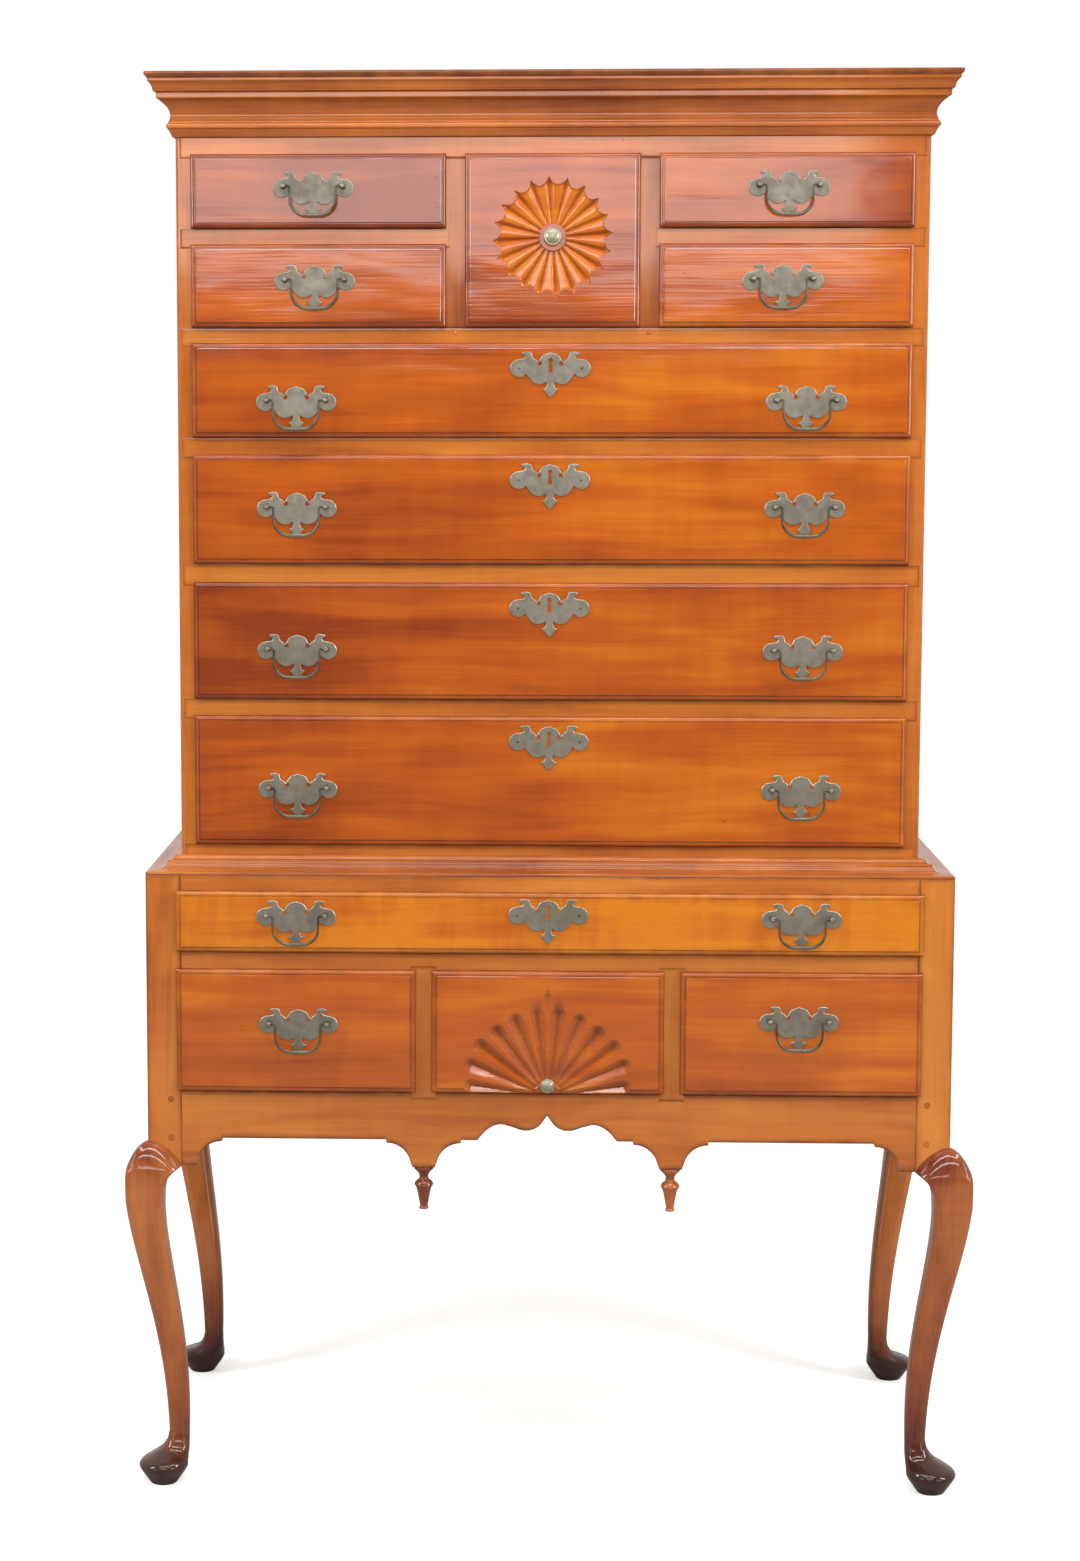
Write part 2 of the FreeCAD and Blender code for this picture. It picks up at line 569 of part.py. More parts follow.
node("skirt_drops", together("skirt_drops", drops))


def side_shape():
    """Side board of the lower case, from the back towards +Y, with a bracket at each end."""
    depth = size["lower_depth"] - 2 * size["post"]
    flat = size["bracket_drop"]
    top = flat + size["skirt_depth"] + size["small_opening"] + size["lower_mid_rail"]
    top += size["lower_long_opening"] + size["lower_top_rail"]
    plinth, radius = size["end_plinth_width"], size["bracket_radius"]
    edges = lines([(0, 0, top), (0, 0, 0), (plinth, 0, 0)])
    edges += bracket(plinth, 1, 0.0)
    edges += lines([(plinth + radius, 0, flat), (depth - plinth - radius, 0, flat)])
    edges += bracket(depth - plinth, -1, 0.0)
    edges += lines([(depth - plinth, 0, 0), (depth, 0, 0), (depth, 0, top), (0, 0, top)])
    shape = Part.Face(Part.Wire(Part.__sortEdges__(edges)))
    shape = shape.extrude(Vector(0, size["lower_side_thickness"], 0))
    shape.rotate(Vector(), Vector(0, 0, 1), 90)
    return shape


lower_sides = []
for right in (-1, 1):
    outer = f"{right} * lower_width / 2" + (" + lower_side_thickness" if right < 0 else "")
    panel = formed(f"side_panel_{right}", side_shape(), outer, f"{lower_front} + post", skirt_foot)
    tenons = [board(f"side_tenon_{right}_{back}", *tenon_places(right, back)[0])
              for back in (-1, 1)]
    lower_sides.append(joined(f"lower_side_{right}", [panel] + tenons))
node("lower_sides", together("lower_sides", lower_sides))

back_front = f"{lower_back} - lower_back_thickness"
back_panel = board("lower_back_panel", "0", back_front, "leg_height", lower_inside,
                   "lower_back_thickness", f"{lower_top} - leg_height")
back_tenons = [board(f"lower_back_tenon_{right}", *tenon_places(right, 1)[1]) for right in (-1, 1)]
node("lower_back", joined("lower_back", [back_panel] + back_tenons))

# ------------------------------------------------------------------ lower rails and runners
lower_rails = []
for n, (foot, height) in enumerate(((mid_rail_foot, "lower_mid_rail"),
                                    (lower_rail_foot, "lower_top_rail"))):
    rail = board(f"lower_rail_{n}", "0", lower_front, foot, lower_inside, "post", height)
    tenons = [board(f"lower_rail_tenon_{n}_{right}", *tenon_places(right, -1)[2 + n])
              for right in (-1, 1)]
    whole = joined(f"lower_rail_whole_{n}", [rail] + tenons)
    if n == 0:
        laps = [board(f"rail_lap_{right}", f"{right} * muntin_offset", f"{lower_front} - 1",
                      f"{foot} - 1", "muntin_width", "muntin_depth + 1 + joint_clearance",
                      "muntin_lap + 1") for right in (-1, 1)]
        whole = carved("mid_rail", whole, laps)
    lower_rails.append(whole)
for right in (-1, 1):
    lower_rails.append(board(f"muntin_{right}", f"{right} * muntin_offset", lower_front,
                             f"{skirt_top} - muntin_lap", "muntin_width", "muntin_depth",
                             "small_opening + 2 * muntin_lap"))
node("lower_front_rails", together("lower_front_rails", lower_rails))

inner_side = "(lower_width / 2 - lower_side_thickness)"
runner_length = f"({back_front} - {lower_front} - post)"
skirt_back = f"({lower_front} + skirt_thickness)"
low_runner_length = f"({back_front} - {skirt_back})"
lower_runners = []
for right in (-1, 1):
    lower_runners.append(board(f"long_runner_{right}", f"{right} * ({lower_inside} - runner_width) / 2",
                               f"{lower_front} + post", f"{mid_rail_top} - runner_height",
                               "runner_width", runner_length, "runner_height"))
    lower_runners.append(board(f"long_guide_{right}",
                               f"{right} * ({inner_side} + {lower_inside} / 2) / 2",
                               f"{lower_front} + post", f"{mid_rail_top} - runner_height",
                               f"{inner_side} - {lower_inside} / 2", f"{side_tenon_depth}",
                               "runner_height + guide_height"))
    lower_runners.append(board(f"small_runner_{right}", f"{right} * ({lower_inside} - runner_width) / 2",
                               skirt_back, f"{skirt_top} - runner_height",
                               "runner_width", low_runner_length, "runner_height"))
    lower_runners.append(board(f"small_guide_{right}",
                               f"{right} * ({inner_side} + {lower_inside} / 2) / 2",
                               f"{lower_front} + post", f"{skirt_top} - runner_height",
                               f"{inner_side} - {lower_inside} / 2", f"{side_tenon_depth}",
                               "runner_height + guide_height"))
    lower_runners.append(board(f"middle_runner_{right}", f"{right} * muntin_offset", skirt_back,
                               f"{skirt_top} - runner_height", "middle_runner_width",
                               low_runner_length, "runner_height"))
    lower_runners.append(board(f"middle_guide_{right}", f"{right} * muntin_offset",
                               f"{lower_front} + muntin_depth", skirt_top, "guide_width",
                               f"{back_front} - {lower_front} - muntin_depth", "guide_height"))
for right in (-1, 1):
    lower_runners.append(board(f"board_ledger_{right}", f"{right} * ({inner_side} - guide_width / 2)",
                               f"{lower_front} + post", f"{lower_top} - lower_board_thickness - guide_width",
                               "guide_width", side_tenon_depth, "guide_width"))
node("lower_drawer_runners", together("lower_drawer_runners", lower_runners))


# ------------------------------------------------------------------ upper case
def upper_rail(name, foot, height):
    """The place of a full-width rail of the upper case, housed in both sides."""
    return (f"upper_{name}_rail", ("0", upper_front, foot, f"{upper_inside} + 2 * rail_housing",
                                   "rail_depth", height))


UPPER_RAILS = [
    upper_rail("base", lower_top, "base_rail"),
    upper_rail("fourth", fourth_head, "fourth_rail"),
    upper_rail("third", third_head, "third_rail"),
    upper_rail("second", second_head, "second_rail"),
    upper_rail("first", first_head, "first_rail"),
    ("upper_frieze", ("0", upper_front, top_head, f"{upper_inside} + 2 * rail_housing",
                      "divider_depth", "frieze_height")),
]
SMALL_BAYS = {"left": -1, "right": 1}
divider_edge = "(divider_offset + divider_width / 2)"


def small_rail_place(right):
    """The rail between two small drawers, let into the side and into the divider."""
    inner = f"({right} * {divider_edge} + bay_shift)"
    outer = f"({right} * {upper_inside} / 2)"
    middle = f"({inner} + {outer}) / 2"
    middle = f"{middle} + {right} * (rail_housing - divider_lap) / 2"
    length = f"({right} * ({outer} - {inner}) + rail_housing + divider_lap)"
    return (middle, upper_front, small_head, length, "rail_depth", "small_rail")


small_rails = {bay: small_rail_place(right) for bay, right in SMALL_BAYS.items()}
board_front = f"({upper_front} + rail_depth)"
bottom_place = ("0", board_front, lower_top, f"{upper_inside} + 2 * board_housing",
                f"{upper_back} - {board_front}", "upper_board_thickness")
top_place = ("0", f"{upper_front} + divider_depth", f"{upper_top} - upper_board_thickness",
             f"{upper_inside} + 2 * board_housing",
             f"{upper_back} - {upper_front} - divider_depth", "upper_board_thickness")

upper_sides = []
for right in (-1, 1):
    side = board(f"upper_side_board_{right}", f"{right} * ({upper_width} - upper_side_thickness) / 2",
                 upper_front, lower_top, "upper_side_thickness", upper_depth,
                 f"{upper_top} - {lower_top}")
    housed = UPPER_RAILS + [("bottom", bottom_place), ("top", top_place)]
    housed.append(("small_rail", small_rails["right" if right > 0 else "left"]))
    cuts = []
    for name, place in housed:
        cuts.append(board(f"{name}_housing_{right}", place[0], f"({place[1]}) - joint_clearance",
                          f"({place[2]}) - joint_clearance", f"({place[3]}) + 2 * joint_clearance",
                          f"({place[4]}) + 2 * joint_clearance",
                          f"({place[5]}) + 2 * joint_clearance"))
    cuts.append(board(f"back_rebate_{right}", f"{right} * ({upper_inside} + back_rebate) / 2",
                      f"{upper_back} - joint_clearance", f"{lower_top} - 1", "back_rebate",
                      "upper_back_thickness + 1", f"{upper_top} - {lower_top} + 2"))
    upper_sides.append(carved(f"upper_side_{right}", side, cuts))
node("upper_sides", together("upper_sides", upper_sides))

lower_board_front = f"({lower_front} + post)"
case_top = board("lower_case_top", "0", lower_board_front, f"{lower_top} - lower_board_thickness",
                 f"2 * {inner_side}", f"{back_front} - {lower_board_front}", "lower_board_thickness")
corner_cuts = [board(f"top_corner_{right}", f"{right} * (lower_width - post) / 2",
                     f"{lower_back} - post - joint_clearance",
                     f"{lower_top} - 2 * lower_board_thickness", "post + 2 * joint_clearance",
                     "post + 1", "3 * lower_board_thickness") for right in (-1, 1)]
boards = [board("upper_bottom_board", *bottom_place), board("upper_top_board", *top_place),
          carved("lower_case_top_notched", case_top, corner_cuts)]
node("case_boards", together("case_boards", boards))

BACK_BOARDS = 3
backs = []
back_height = f"(({upper_top} - {lower_top}) / {BACK_BOARDS})"
for n in range(BACK_BOARDS):
    backs.append(board(f"upper_back_board_{n}", "0", upper_back, f"{lower_top} + {n} * {back_height}",
                       f"{upper_inside} + 2 * back_rebate - 2 * joint_clearance",
                       "upper_back_thickness", back_height))
node("upper_back_boards", together("upper_back_boards", backs))


def divider_place(right):
    """One upright beside the square drawer, between the frieze and the first rail."""
    return (f"{right} * divider_offset + bay_shift", upper_front, small_foot, "divider_width",
            "divider_depth", f"{top_head} - {small_foot}")


def divider_tenon_place(right):
    """The stub tenon that joins a divider to the rail below and the frieze above it."""
    return (f"{right} * divider_offset + bay_shift", f"{upper_front} + divider_depth / 4",
            f"{small_foot} - divider_tenon", "divider_width / 2", "divider_depth / 2",
            f"{top_head} - {small_foot} + 2 * divider_tenon")


divider_mortises = [board(f"divider_mortise_{right}", *roomy(divider_tenon_place(right)))
                    for right in (-1, 1)]
peg_places = {right: (f"{right} * divider_offset + bay_shift", upper_front,
                      f"{small_foot} - divider_tenon / 2") for right in (-1, 1)}
small_peg = "peg_radius * 0.7"
peg_holes = [bore(f"rail_peg_hole_{right}", place[0], f"{place[1]} - 1", place[2],
                  f"{small_peg} + joint_clearance", "peg_length + 1")
             for right, place in peg_places.items()]
upper_rails = []
for name, place in UPPER_RAILS:
    rail = board(name, *place)
    if name == "upper_first_rail":
        rail = carved("first_rail_mortised", rail, divider_mortises + peg_holes)
    if name == "upper_frieze":
        rail = carved("frieze_mortised", rail, divider_mortises)
    upper_rails.append(rail)
for bay, right in SMALL_BAYS.items():
    upper_rails.append(board(f"small_rail_{bay}", *small_rails[bay]))
    upright = joined(f"divider_whole_{bay}", [board(f"divider_{bay}", *divider_place(right)),
                                              board(f"divider_tenon_{bay}", *divider_tenon_place(right))])
    housing = board(f"divider_housing_{bay}", *roomy(small_rails[bay]))
    hole = bore(f"divider_peg_hole_{bay}", peg_places[right][0], f"{upper_front} - 1",
                peg_places[right][2], f"{small_peg} + joint_clearance", "peg_length + 1")
    upper_rails.append(carved(f"divider_cut_{bay}", upright, [housing, hole]))
    pegs.append(bore(f"rail_peg_{bay}", *peg_places[right], small_peg, "peg_length"))
node("upper_front_rails", together("upper_front_rails", upper_rails))
node("joint_pegs", together("joint_pegs", pegs))

upper_runner_length = f"({upper_back} - {board_front})"
upper_runners = []
for name, foot in (("third", third_foot), ("second", second_foot), ("first", first_foot),
                   ("small", small_foot), ("top", top_foot)):
    for right in (-1, 1):
        upper_runners.append(board(f"{name}_side_runner_{right}",
                                   f"{right} * ({upper_inside} - runner_width) / 2", board_front,
                                   f"{foot} - runner_height", "runner_width",
                                   upper_runner_length, "runner_height"))
for right in (-1, 1):
    place = f"{right} * divider_offset + bay_shift"
    upper_runners.append(board(f"fourth_side_runner_{right}",
                               f"{right} * ({upper_inside} - runner_width) / 2", board_front,
                               f"{lower_top} + upper_board_thickness", "runner_width",
                               upper_runner_length, "base_rail - upper_board_thickness"))
    upper_runners.append(board(f"bay_runner_{right}", place, board_front,
                               f"{small_foot} - runner_height", "middle_runner_width",
                               upper_runner_length, "runner_height"))
    upper_runners.append(board(f"bay_guide_{right}", place, board_front, small_foot, "guide_width",
                               upper_runner_length, f"{top_foot} - {small_foot} - runner_height"))
    upper_runners.append(board(f"high_runner_{right}",
                               f"{place} + {right} * (runner_width - divider_width / 2) / 2",
                               board_front, f"{top_foot} - runner_height", "runner_width + divider_width / 2",
                               upper_runner_length, "runner_height"))
node("upper_drawer_runners", together("upper_drawer_runners", upper_runners))


# ------------------------------------------------------------------ mouldings
def run(profile, start, end):
    """A stretch of moulding between two stations. The profile is a list of edges, each a list
    of (across, up); a station is the place of across = 0 and of across = 1."""
    ends = []
    for inner, outer in (start, end):
        edges = []
        for stretch in profile:
            points = [(inner[0] + (outer[0] - inner[0]) * across,
                       inner[1] + (outer[1] - inner[1]) * across, up) for across, up in stretch]
            edges += lines(points) if len(points) == 2 else [curve(points)]
        ends.append(edges)
    skin = [Part.makeRuledSurface(a, b) for a, b in zip(*ends)]
    skin += [Part.Face(Part.Wire(edges)) for edges in ends]
    shell = Part.makeShell(skin)
    shell.sewShape()
    solid = Part.makeSolid(shell)
    if solid.Volume < 0:
        solid.reverse()
    return solid


def three_runs(name, profile, inner_half, outer_half, inner_front, outer_front, back, z):
    """Front and side stretches of a moulding, mitred at the two front corners."""
    stations = [((-inner_half, back), (-outer_half, back)),
                ((-inner_half, inner_front), (-outer_half, outer_front)),
                ((inner_half, inner_front), (outer_half, outer_front)),
                ((inner_half, back), (outer_half, back))]
    pieces = [formed(f"{name}_{n}", run(profile, stations[n], stations[n + 1]), "0", "0", z)
              for n in range(3)]
    return together(name, pieces)


half_lower = size["lower_width"] / 2
half_upper = half_lower - size["side_ledge"]
front_lower = -size["lower_depth"] / 2
front_upper = front_lower + size["setback"]
back_plane = size["lower_depth"] / 2

tall = size["cornice_height"]
CORNICE = [
    [(0, 0), (0, tall)],
    [(0, tall), (1.0, tall)],
    [(1.0, tall), (1.0, 0.97 * tall)],
    [(1.0, 0.97 * tall), (0.94, 0.92 * tall), (0.89, 0.868 * tall)],
    [(0.89, 0.868 * tall), (0.86, 0.85 * tall)],
    [(0.86, 0.85 * tall), (0.8, 0.78 * tall), (0.72, 0.73 * tall), (0.635, 0.695 * tall)],
    [(0.635, 0.695 * tall), (0.625, 0.62 * tall)],
    [(0.625, 0.62 * tall), (0.575, 0.59 * tall)],
    [(0.575, 0.59 * tall), (0.39, 0.555 * tall), (0.27, 0.51 * tall), (0.195, 0.44 * tall),
     (0.167, 0.36 * tall), (0.235, 0.25 * tall), (0.297, 0.165 * tall)],
    [(0.297, 0.165 * tall), (0.2, 0.1 * tall), (0.118, 0.023 * tall)],
    [(0.118, 0.023 * tall), (0.04, 0.006 * tall)],
    [(0.04, 0.006 * tall), (0, 0)],
]
cornice = three_runs("cornice_moulding", CORNICE, half_upper, half_upper + size["cornice_reach"],
                     front_upper, front_upper - size["cornice_reach"], back_plane,
                     f"{upper_top} - cornice_height")
node("cornice_moulding", cornice)

rise = size["waist_height"]
WAIST = [
    [(0, 0), (0, rise)],
    [(0, rise), (0.12, rise)],
    [(0.12, rise), (0.19, 0.92 * rise), (0.24, 0.75 * rise)],
    [(0.24, 0.75 * rise), (0.38, 0.7 * rise)],
    [(0.38, 0.7 * rise), (0.42, 0.45 * rise), (0.52, 0.27 * rise), (0.66, 0.2 * rise)],
    [(0.66, 0.2 * rise), (0.97, 0.17 * rise)],
    [(0.97, 0.17 * rise), (1.0, 0.08 * rise), (0.99, 0)],
    [(0.99, 0), (0, 0)],
]
waist = three_runs("waist_moulding", WAIST, half_upper, half_lower, front_upper, front_lower,
                   back_plane, lower_top)
node("waist_moulding", waist)


# ------------------------------------------------------------------ brasses
def plate_outline():
    """A bat's-wing plate about the middle of its side lobes: dome, ears, round side lobes,
    two body lobes and an arrow-shaped tail. Its pattern is drawn on a grid of 37 parts from the
    middle to a lobe."""
    lobe = size["post_spacing"] / 2 + size["lobe_outset"]
    drop, dome, radius = size["plate_drop"], size["plate_rise"], size["lobe_radius"]
    part = lobe / 37
    right = lines([(0, 0, -drop), (6.2 * part, 0, -0.79 * drop), (9.6 * part, 0, -0.7 * drop)])
    right.append(curve([(9.6 * part, 0, -0.7 * drop), (5.4 * part, 0, -0.64 * drop),
                        (4.2 * part, 0, -0.5 * drop), (4.6 * part, 0, -0.46 * drop)]))
    right.append(curve([(4.6 * part, 0, -0.46 * drop), (12.1 * part, 0, -0.546 * drop),
                        (19.5 * part, 0, -0.5 * drop), (24.6 * part, 0, -0.35 * drop),
                        (lobe - 0.8 * radius, 0, -0.6 * radius)]))
    right.append(Part.Arc(Vector(lobe - 0.8 * radius, 0, -0.6 * radius),
                          Vector(lobe + radius, 0, 0), Vector(lobe, 0, radius)).toShape())
    neck = (lobe - 6.2 * part, 0, radius + part)
    right += lines([(lobe, 0, radius), neck])
    right.append(curve([neck, (lobe - 7.5 * part, 0, 0.75 * dome),
                        (lobe - 4.6 * part, 0, 0.84 * dome), (lobe - 2.9 * part, 0, 0.93 * dome),
                        (lobe - 4.1 * part, 0, 1.01 * dome)]))
    right.append(curve([(lobe - 4.1 * part, 0, 1.01 * dome), (lobe - 10.5 * part, 0, 1.04 * dome),
                        (lobe - 14.1 * part, 0, 0.98 * dome), (lobe - 16.4 * part, 0, 0.66 * dome),
                        (16.4 * part, 0, 0.51 * dome)]))
    right += lines([(16.4 * part, 0, 0.51 * dome), (14.9 * part, 0, 0.4 * dome),
                    (13.1 * part, 0, 0.51 * dome)])
    right.append(curve([(13.1 * part, 0, 0.51 * dome), (10.0 * part, 0, 0.78 * dome), (0, 0, dome)]))
    return right


def plate_blank():
    """The plate as a flat sheet with its two pierced holes, its back at y = 0."""
    right = plate_outline()
    left = [edge.mirror(Vector(), Vector(1, 0, 0)) for edge in right]
    face = Part.Face(Part.Wire(Part.__sortEdges__(right + left)))
    thick = size["plate_thickness"]
    blank = face.extrude(Vector(0, -thick, 0))
    offset, rise = size["pierced_offset"], size["pierced_rise"]
    holes = [Part.makeCylinder(size["pierced_radius"], thick + 2, Vector(x, 1, rise), Vector(0, -1, 0))
             for x in (-offset, offset)]
    return blank.cut(holes)


def pull_plate():
    """The plate of a pull, with a hole for each post."""
    holes = [Part.makeCylinder(size["shank_radius"] + size["joint_clearance"],
                               size["plate_thickness"] + 2,
                               Vector(right * size["post_spacing"] / 2, 1, size["post_rise"]),
                               Vector(0, -1, 0)) for right in (-1, 1)]
    return plate_blank().cut(holes)


def keyway(depth):
    """The room of a key, from before a plate backwards: a round with a slot below it."""
    front, radius, rise = 2 * size["plate_thickness"], size["keyhole_radius"], size["keyhole_rise"]
    wide, long_slot = size["keyhole_width"], size["keyhole_slot"]
    round_hole = Part.makeCylinder(radius, depth + front, Vector(0, -front, rise), Vector(0, 1, 0))
    slot = Part.makeBox(wide, depth + front, long_slot, Vector(-wide / 2, -front, rise - long_slot))
    return round_hole.fuse(slot)


def escutcheon():
    """The plate of a keyhole, with a hole for each tack."""
    thick = size["plate_thickness"] + 2
    lobe = size["post_spacing"] / 2 + size["lobe_outset"]
    tacks = [Part.makeCylinder(size["tack_radius"] + size["joint_clearance"], thick,
                               Vector(right * lobe, 1, 0), Vector(0, -1, 0)) for right in (-1, 1)]
    return plate_blank().cut([keyway(1.0)] + tacks)


def pull_post():
    """A turned post along -Y: shank behind its plate, stem and bored ball head before it."""
    thick, ball = size["plate_thickness"], size["ball_radius"]
    long_shank = size["lip_proud"] + size["front_depth"] + size["nut_height"] + 1
    back, front = Vector(0, long_shank, 0), Vector(0, -1, 0)
    shank = Part.makeCylinder(size["shank_radius"], long_shank + thick, back, front)
    stem = Part.makeCylinder(size["stem_radius"], size["ball_reach"] - thick, Vector(0, -thick, 0), front)
    head = Part.makeSphere(ball, Vector(0, -size["ball_reach"], 0))
    hole = Part.makeCylinder(size["bail_wire_radius"] + size["pin_clearance"], 4 * ball,
                             Vector(-2 * ball, -size["ball_reach"], 0), Vector(1, 0, 0))
    return shank.fuse([stem, head]).cut(hole)


def nut():
    """A round nut inside the drawer front, bored for its shank."""
    start = Vector(0, 0, 0)
    whole = Part.makeCylinder(size["nut_radius"], size["nut_height"], start, Vector(0, 1, 0))
    return whole.cut(Part.makeCylinder(size["shank_radius"] + size["pin_clearance"],
                                       size["nut_height"], start, Vector(0, 1, 0)))


def bail():
    """A bail about its pins: two pins into the posts, two arms, round corners and a grip."""
    arm, wire, grip = size["bail_half_width"], size["bail_wire_radius"], size["bail_grip_radius"]
    low = -(size["bail_drop"] + size["post_rise"])
    corner = size["bail_corner"]
    pin_end = size["post_spacing"] / 2 + size["ball_radius"]
    elbow = size["bail_elbow"]
    lean = math.sqrt(0.5)

    def half(right):
        """One half of the bail, from the end of its pin to the foot of its corner."""
        path = lines([(right * pin_end, 0, 0), (right * (arm + elbow), 0, 0)])
        path.append(Part.Arc(Vector(right * (arm + elbow), 0, 0),
                             Vector(right * (arm + elbow * (1 - lean)), 0, -elbow * (1 - lean)),
                             Vector(right * arm, 0, -elbow)).toShape())
        path += lines([(right * arm, 0, -elbow), (right * arm, 0, low + corner)])
        ring = Part.Wire(Part.makeCircle(wire, Vector(right * pin_end, 0, 0), Vector(right, 0, 0)))
        upper = Part.Wire(path).makePipeShell([ring], True, False)
        bend = Part.Wire(Part.Arc(Vector(right * arm, 0, low + corner),
                                  Vector(right * (arm - corner * (1 - lean)), 0, low + corner * (1 - lean)),
                                  Vector(right * (arm - corner), 0, low)).toShape())
        start = Part.Wire(Part.makeCircle(wire, Vector(right * arm, 0, low + corner), Vector(0, 0, 1)))
        end = Part.Wire(Part.makeCircle(grip, Vector(right * (arm - corner), 0, low), Vector(1, 0, 0)))
        return upper, bend.makePipeShell([start, end], True, False)

    handle = Part.makeCylinder(grip, 2 * (arm - corner), Vector(corner - arm, 0, low), Vector(1, 0, 0))
    return handle.fuse([piece for right in (-1, 1) for piece in half(right)])


PLATE, ESCUTCHEON, POST, NUT, BAIL = pull_plate(), escutcheon(), pull_post(), nut(), bail()
FRONT_THICKNESS = size["lip_proud"] + size["front_depth"]
KEYWAY = keyway(FRONT_THICKNESS + size["lock_thickness"] - size["lock_wall"])

KNOB = [("0", "0 - knob_screw"), ("shank_radius", "0 - knob_screw"),
        ("shank_radius", "0"), ("0.55 * knob_radius", "0"), ("0.4 * knob_radius", "0.35 * knob_reach"),
        ("0.9 * knob_radius", "0.6 * knob_reach"), ("knob_radius", "0.75 * knob_reach"),
        ("0.8 * knob_radius", "0.93 * knob_reach"), ("0", "knob_reach")]


# ------------------------------------------------------------------ carving
PETALS, FLUTES = 20, 12
PETAL_LEAN = 3.8          # degrees that the first petal leans from upright


def flutes(count, first, step, inner, outer):
    """V-shaped gouge cuts that spread from a middle on the face, deepest at two thirds."""
    tools = []
    deep = size["carving_depth"]
    for n in range(count):
        angle = math.radians(first + n * step)
        along = Vector(math.cos(angle), 0, math.sin(angle))
        across = Vector(-math.sin(angle), 0, math.cos(angle)) * (outer * math.radians(step) * 0.42)
        inner_point = along * inner
        outer_point = along * outer
        proud = Vector(0, -1, 0)
        edge = Part.makePolygon([inner_point + proud, outer_point - across + proud,
                                 outer_point + across + proud, inner_point + proud])
        keel = along * (inner + 0.7 * (outer - inner)) + Vector(0, deep, 0)
        faces = [Part.Face(edge)]
        ring = [inner_point + proud, outer_point - across + proud, outer_point + across + proud]
        for a, b in zip(ring, ring[1:] + ring[:1]):
            faces.append(Part.Face(Part.makePolygon([a, b, keel, a])))
        tools.append(Part.Solid(Part.Shell(faces)))
    return Part.makeCompound(tools)


# ------------------------------------------------------------------ drawers
small_outer = f"({upper_inside} / 2)"


def bay_middle(right):
    """Middle of a small drawer's bay, between the side and a divider."""
    return f"({right} * ({small_outer} + {divider_edge}) + bay_shift) / 2"


def bay_width(right):
    """Width of a small drawer's bay."""
    return f"({small_outer} - {divider_edge} - {right} * bay_shift)"


muntin_edge = "(muntin_offset + muntin_width / 2)"
lower_bay = f"({lower_inside} / 2 - {muntin_edge})"
PAIR = ((-1, "left"), (1, "right"))
LONG_PULLS = [(f"{right} * long_pull_offset", "_" + hand) for right, hand in PAIR]
ONE_PULL = [("0", "")]


def drawer_entry(name, middle, width, foot, height, upper, pulls, pull_height, lock=None, carving=None):
    """What one drawer needs: its opening, its pulls, its lock and its carving."""
    return dict(name=name, middle=middle, width=width, foot=foot, height=height, upper=upper,
                pulls=pulls, pull_height=pull_height, lock=lock, carving=carving)


DRAWERS = [
    drawer_entry("top_left", bay_middle(-1), bay_width(-1), top_foot, "top_small_opening", True,
                 [("top_left_shift", "")], "top_small_pull_height"),
    drawer_entry("top_right", bay_middle(1), bay_width(1), top_foot, "top_small_opening", True,
                 [("top_right_shift", "")], "top_small_pull_height"),
    drawer_entry("second_left", bay_middle(-1), bay_width(-1), small_foot, "low_small_opening", True,
                 [("second_left_shift", "")], "low_small_pull_height"),
    drawer_entry("second_right", bay_middle(1), bay_width(1), small_foot, "low_small_opening", True,
                 [("second_right_shift", "")], "low_small_pull_height"),
    drawer_entry("pinwheel", "bay_shift", "(2 * divider_offset - divider_width)", small_foot,
                 f"({top_head} - {small_foot})", True, [], "0", carving="pinwheel"),
    drawer_entry("first_long", "0", upper_inside, first_foot, "first_opening", True, LONG_PULLS,
                 "first_pull_height", "escutcheon_drop"),
    drawer_entry("second_long", "0", upper_inside, second_foot, "second_opening", True, LONG_PULLS,
                 "second_pull_height", "escutcheon_drop"),
    drawer_entry("third_long", "0", upper_inside, third_foot, "third_opening", True, LONG_PULLS,
                 "third_pull_height", "escutcheon_drop"),
    drawer_entry("fourth_long", "0", upper_inside, fourth_foot, "fourth_opening", True, LONG_PULLS,
                 "fourth_pull_height", "escutcheon_drop"),
    drawer_entry("lower_long", "0", lower_inside, mid_rail_top, "lower_long_opening", False,
                 LONG_PULLS, "lower_pull_height", "lower_escutcheon_drop"),
    drawer_entry("lower_left", f"(0 - {muntin_edge} - {lower_bay} / 2)", lower_bay, skirt_top,
                 "small_opening", False, [("lower_left_shift", "")], "lower_left_pull_height"),
    drawer_entry("lower_right", f"({muntin_edge} + {lower_bay} / 2)", lower_bay, skirt_top,
                 "small_opening", False, [("lower_right_shift", "")], "lower_right_pull_height"),
    drawer_entry("fan", "0", "(2 * muntin_offset - muntin_width)", skirt_top, "small_opening", False,
                 [], "0", carving="fan"),
]


def carving_of(drawer):
    """The cut tool of a carved front, made round the middle of its carving: a whole turn of
    petals for the pinwheel, and half a turn of flutes for the fan."""
    if drawer["carving"] == "pinwheel":
        return flutes(PETALS, 90.0 + PETAL_LEAN, 360.0 / PETALS, size["pinwheel_boss_radius"],
                      size["pinwheel_radius"])
    step = 180.0 / FLUTES
    return flutes(FLUTES, step / 2, step, size["fan_boss_radius"], size["fan_radius"])


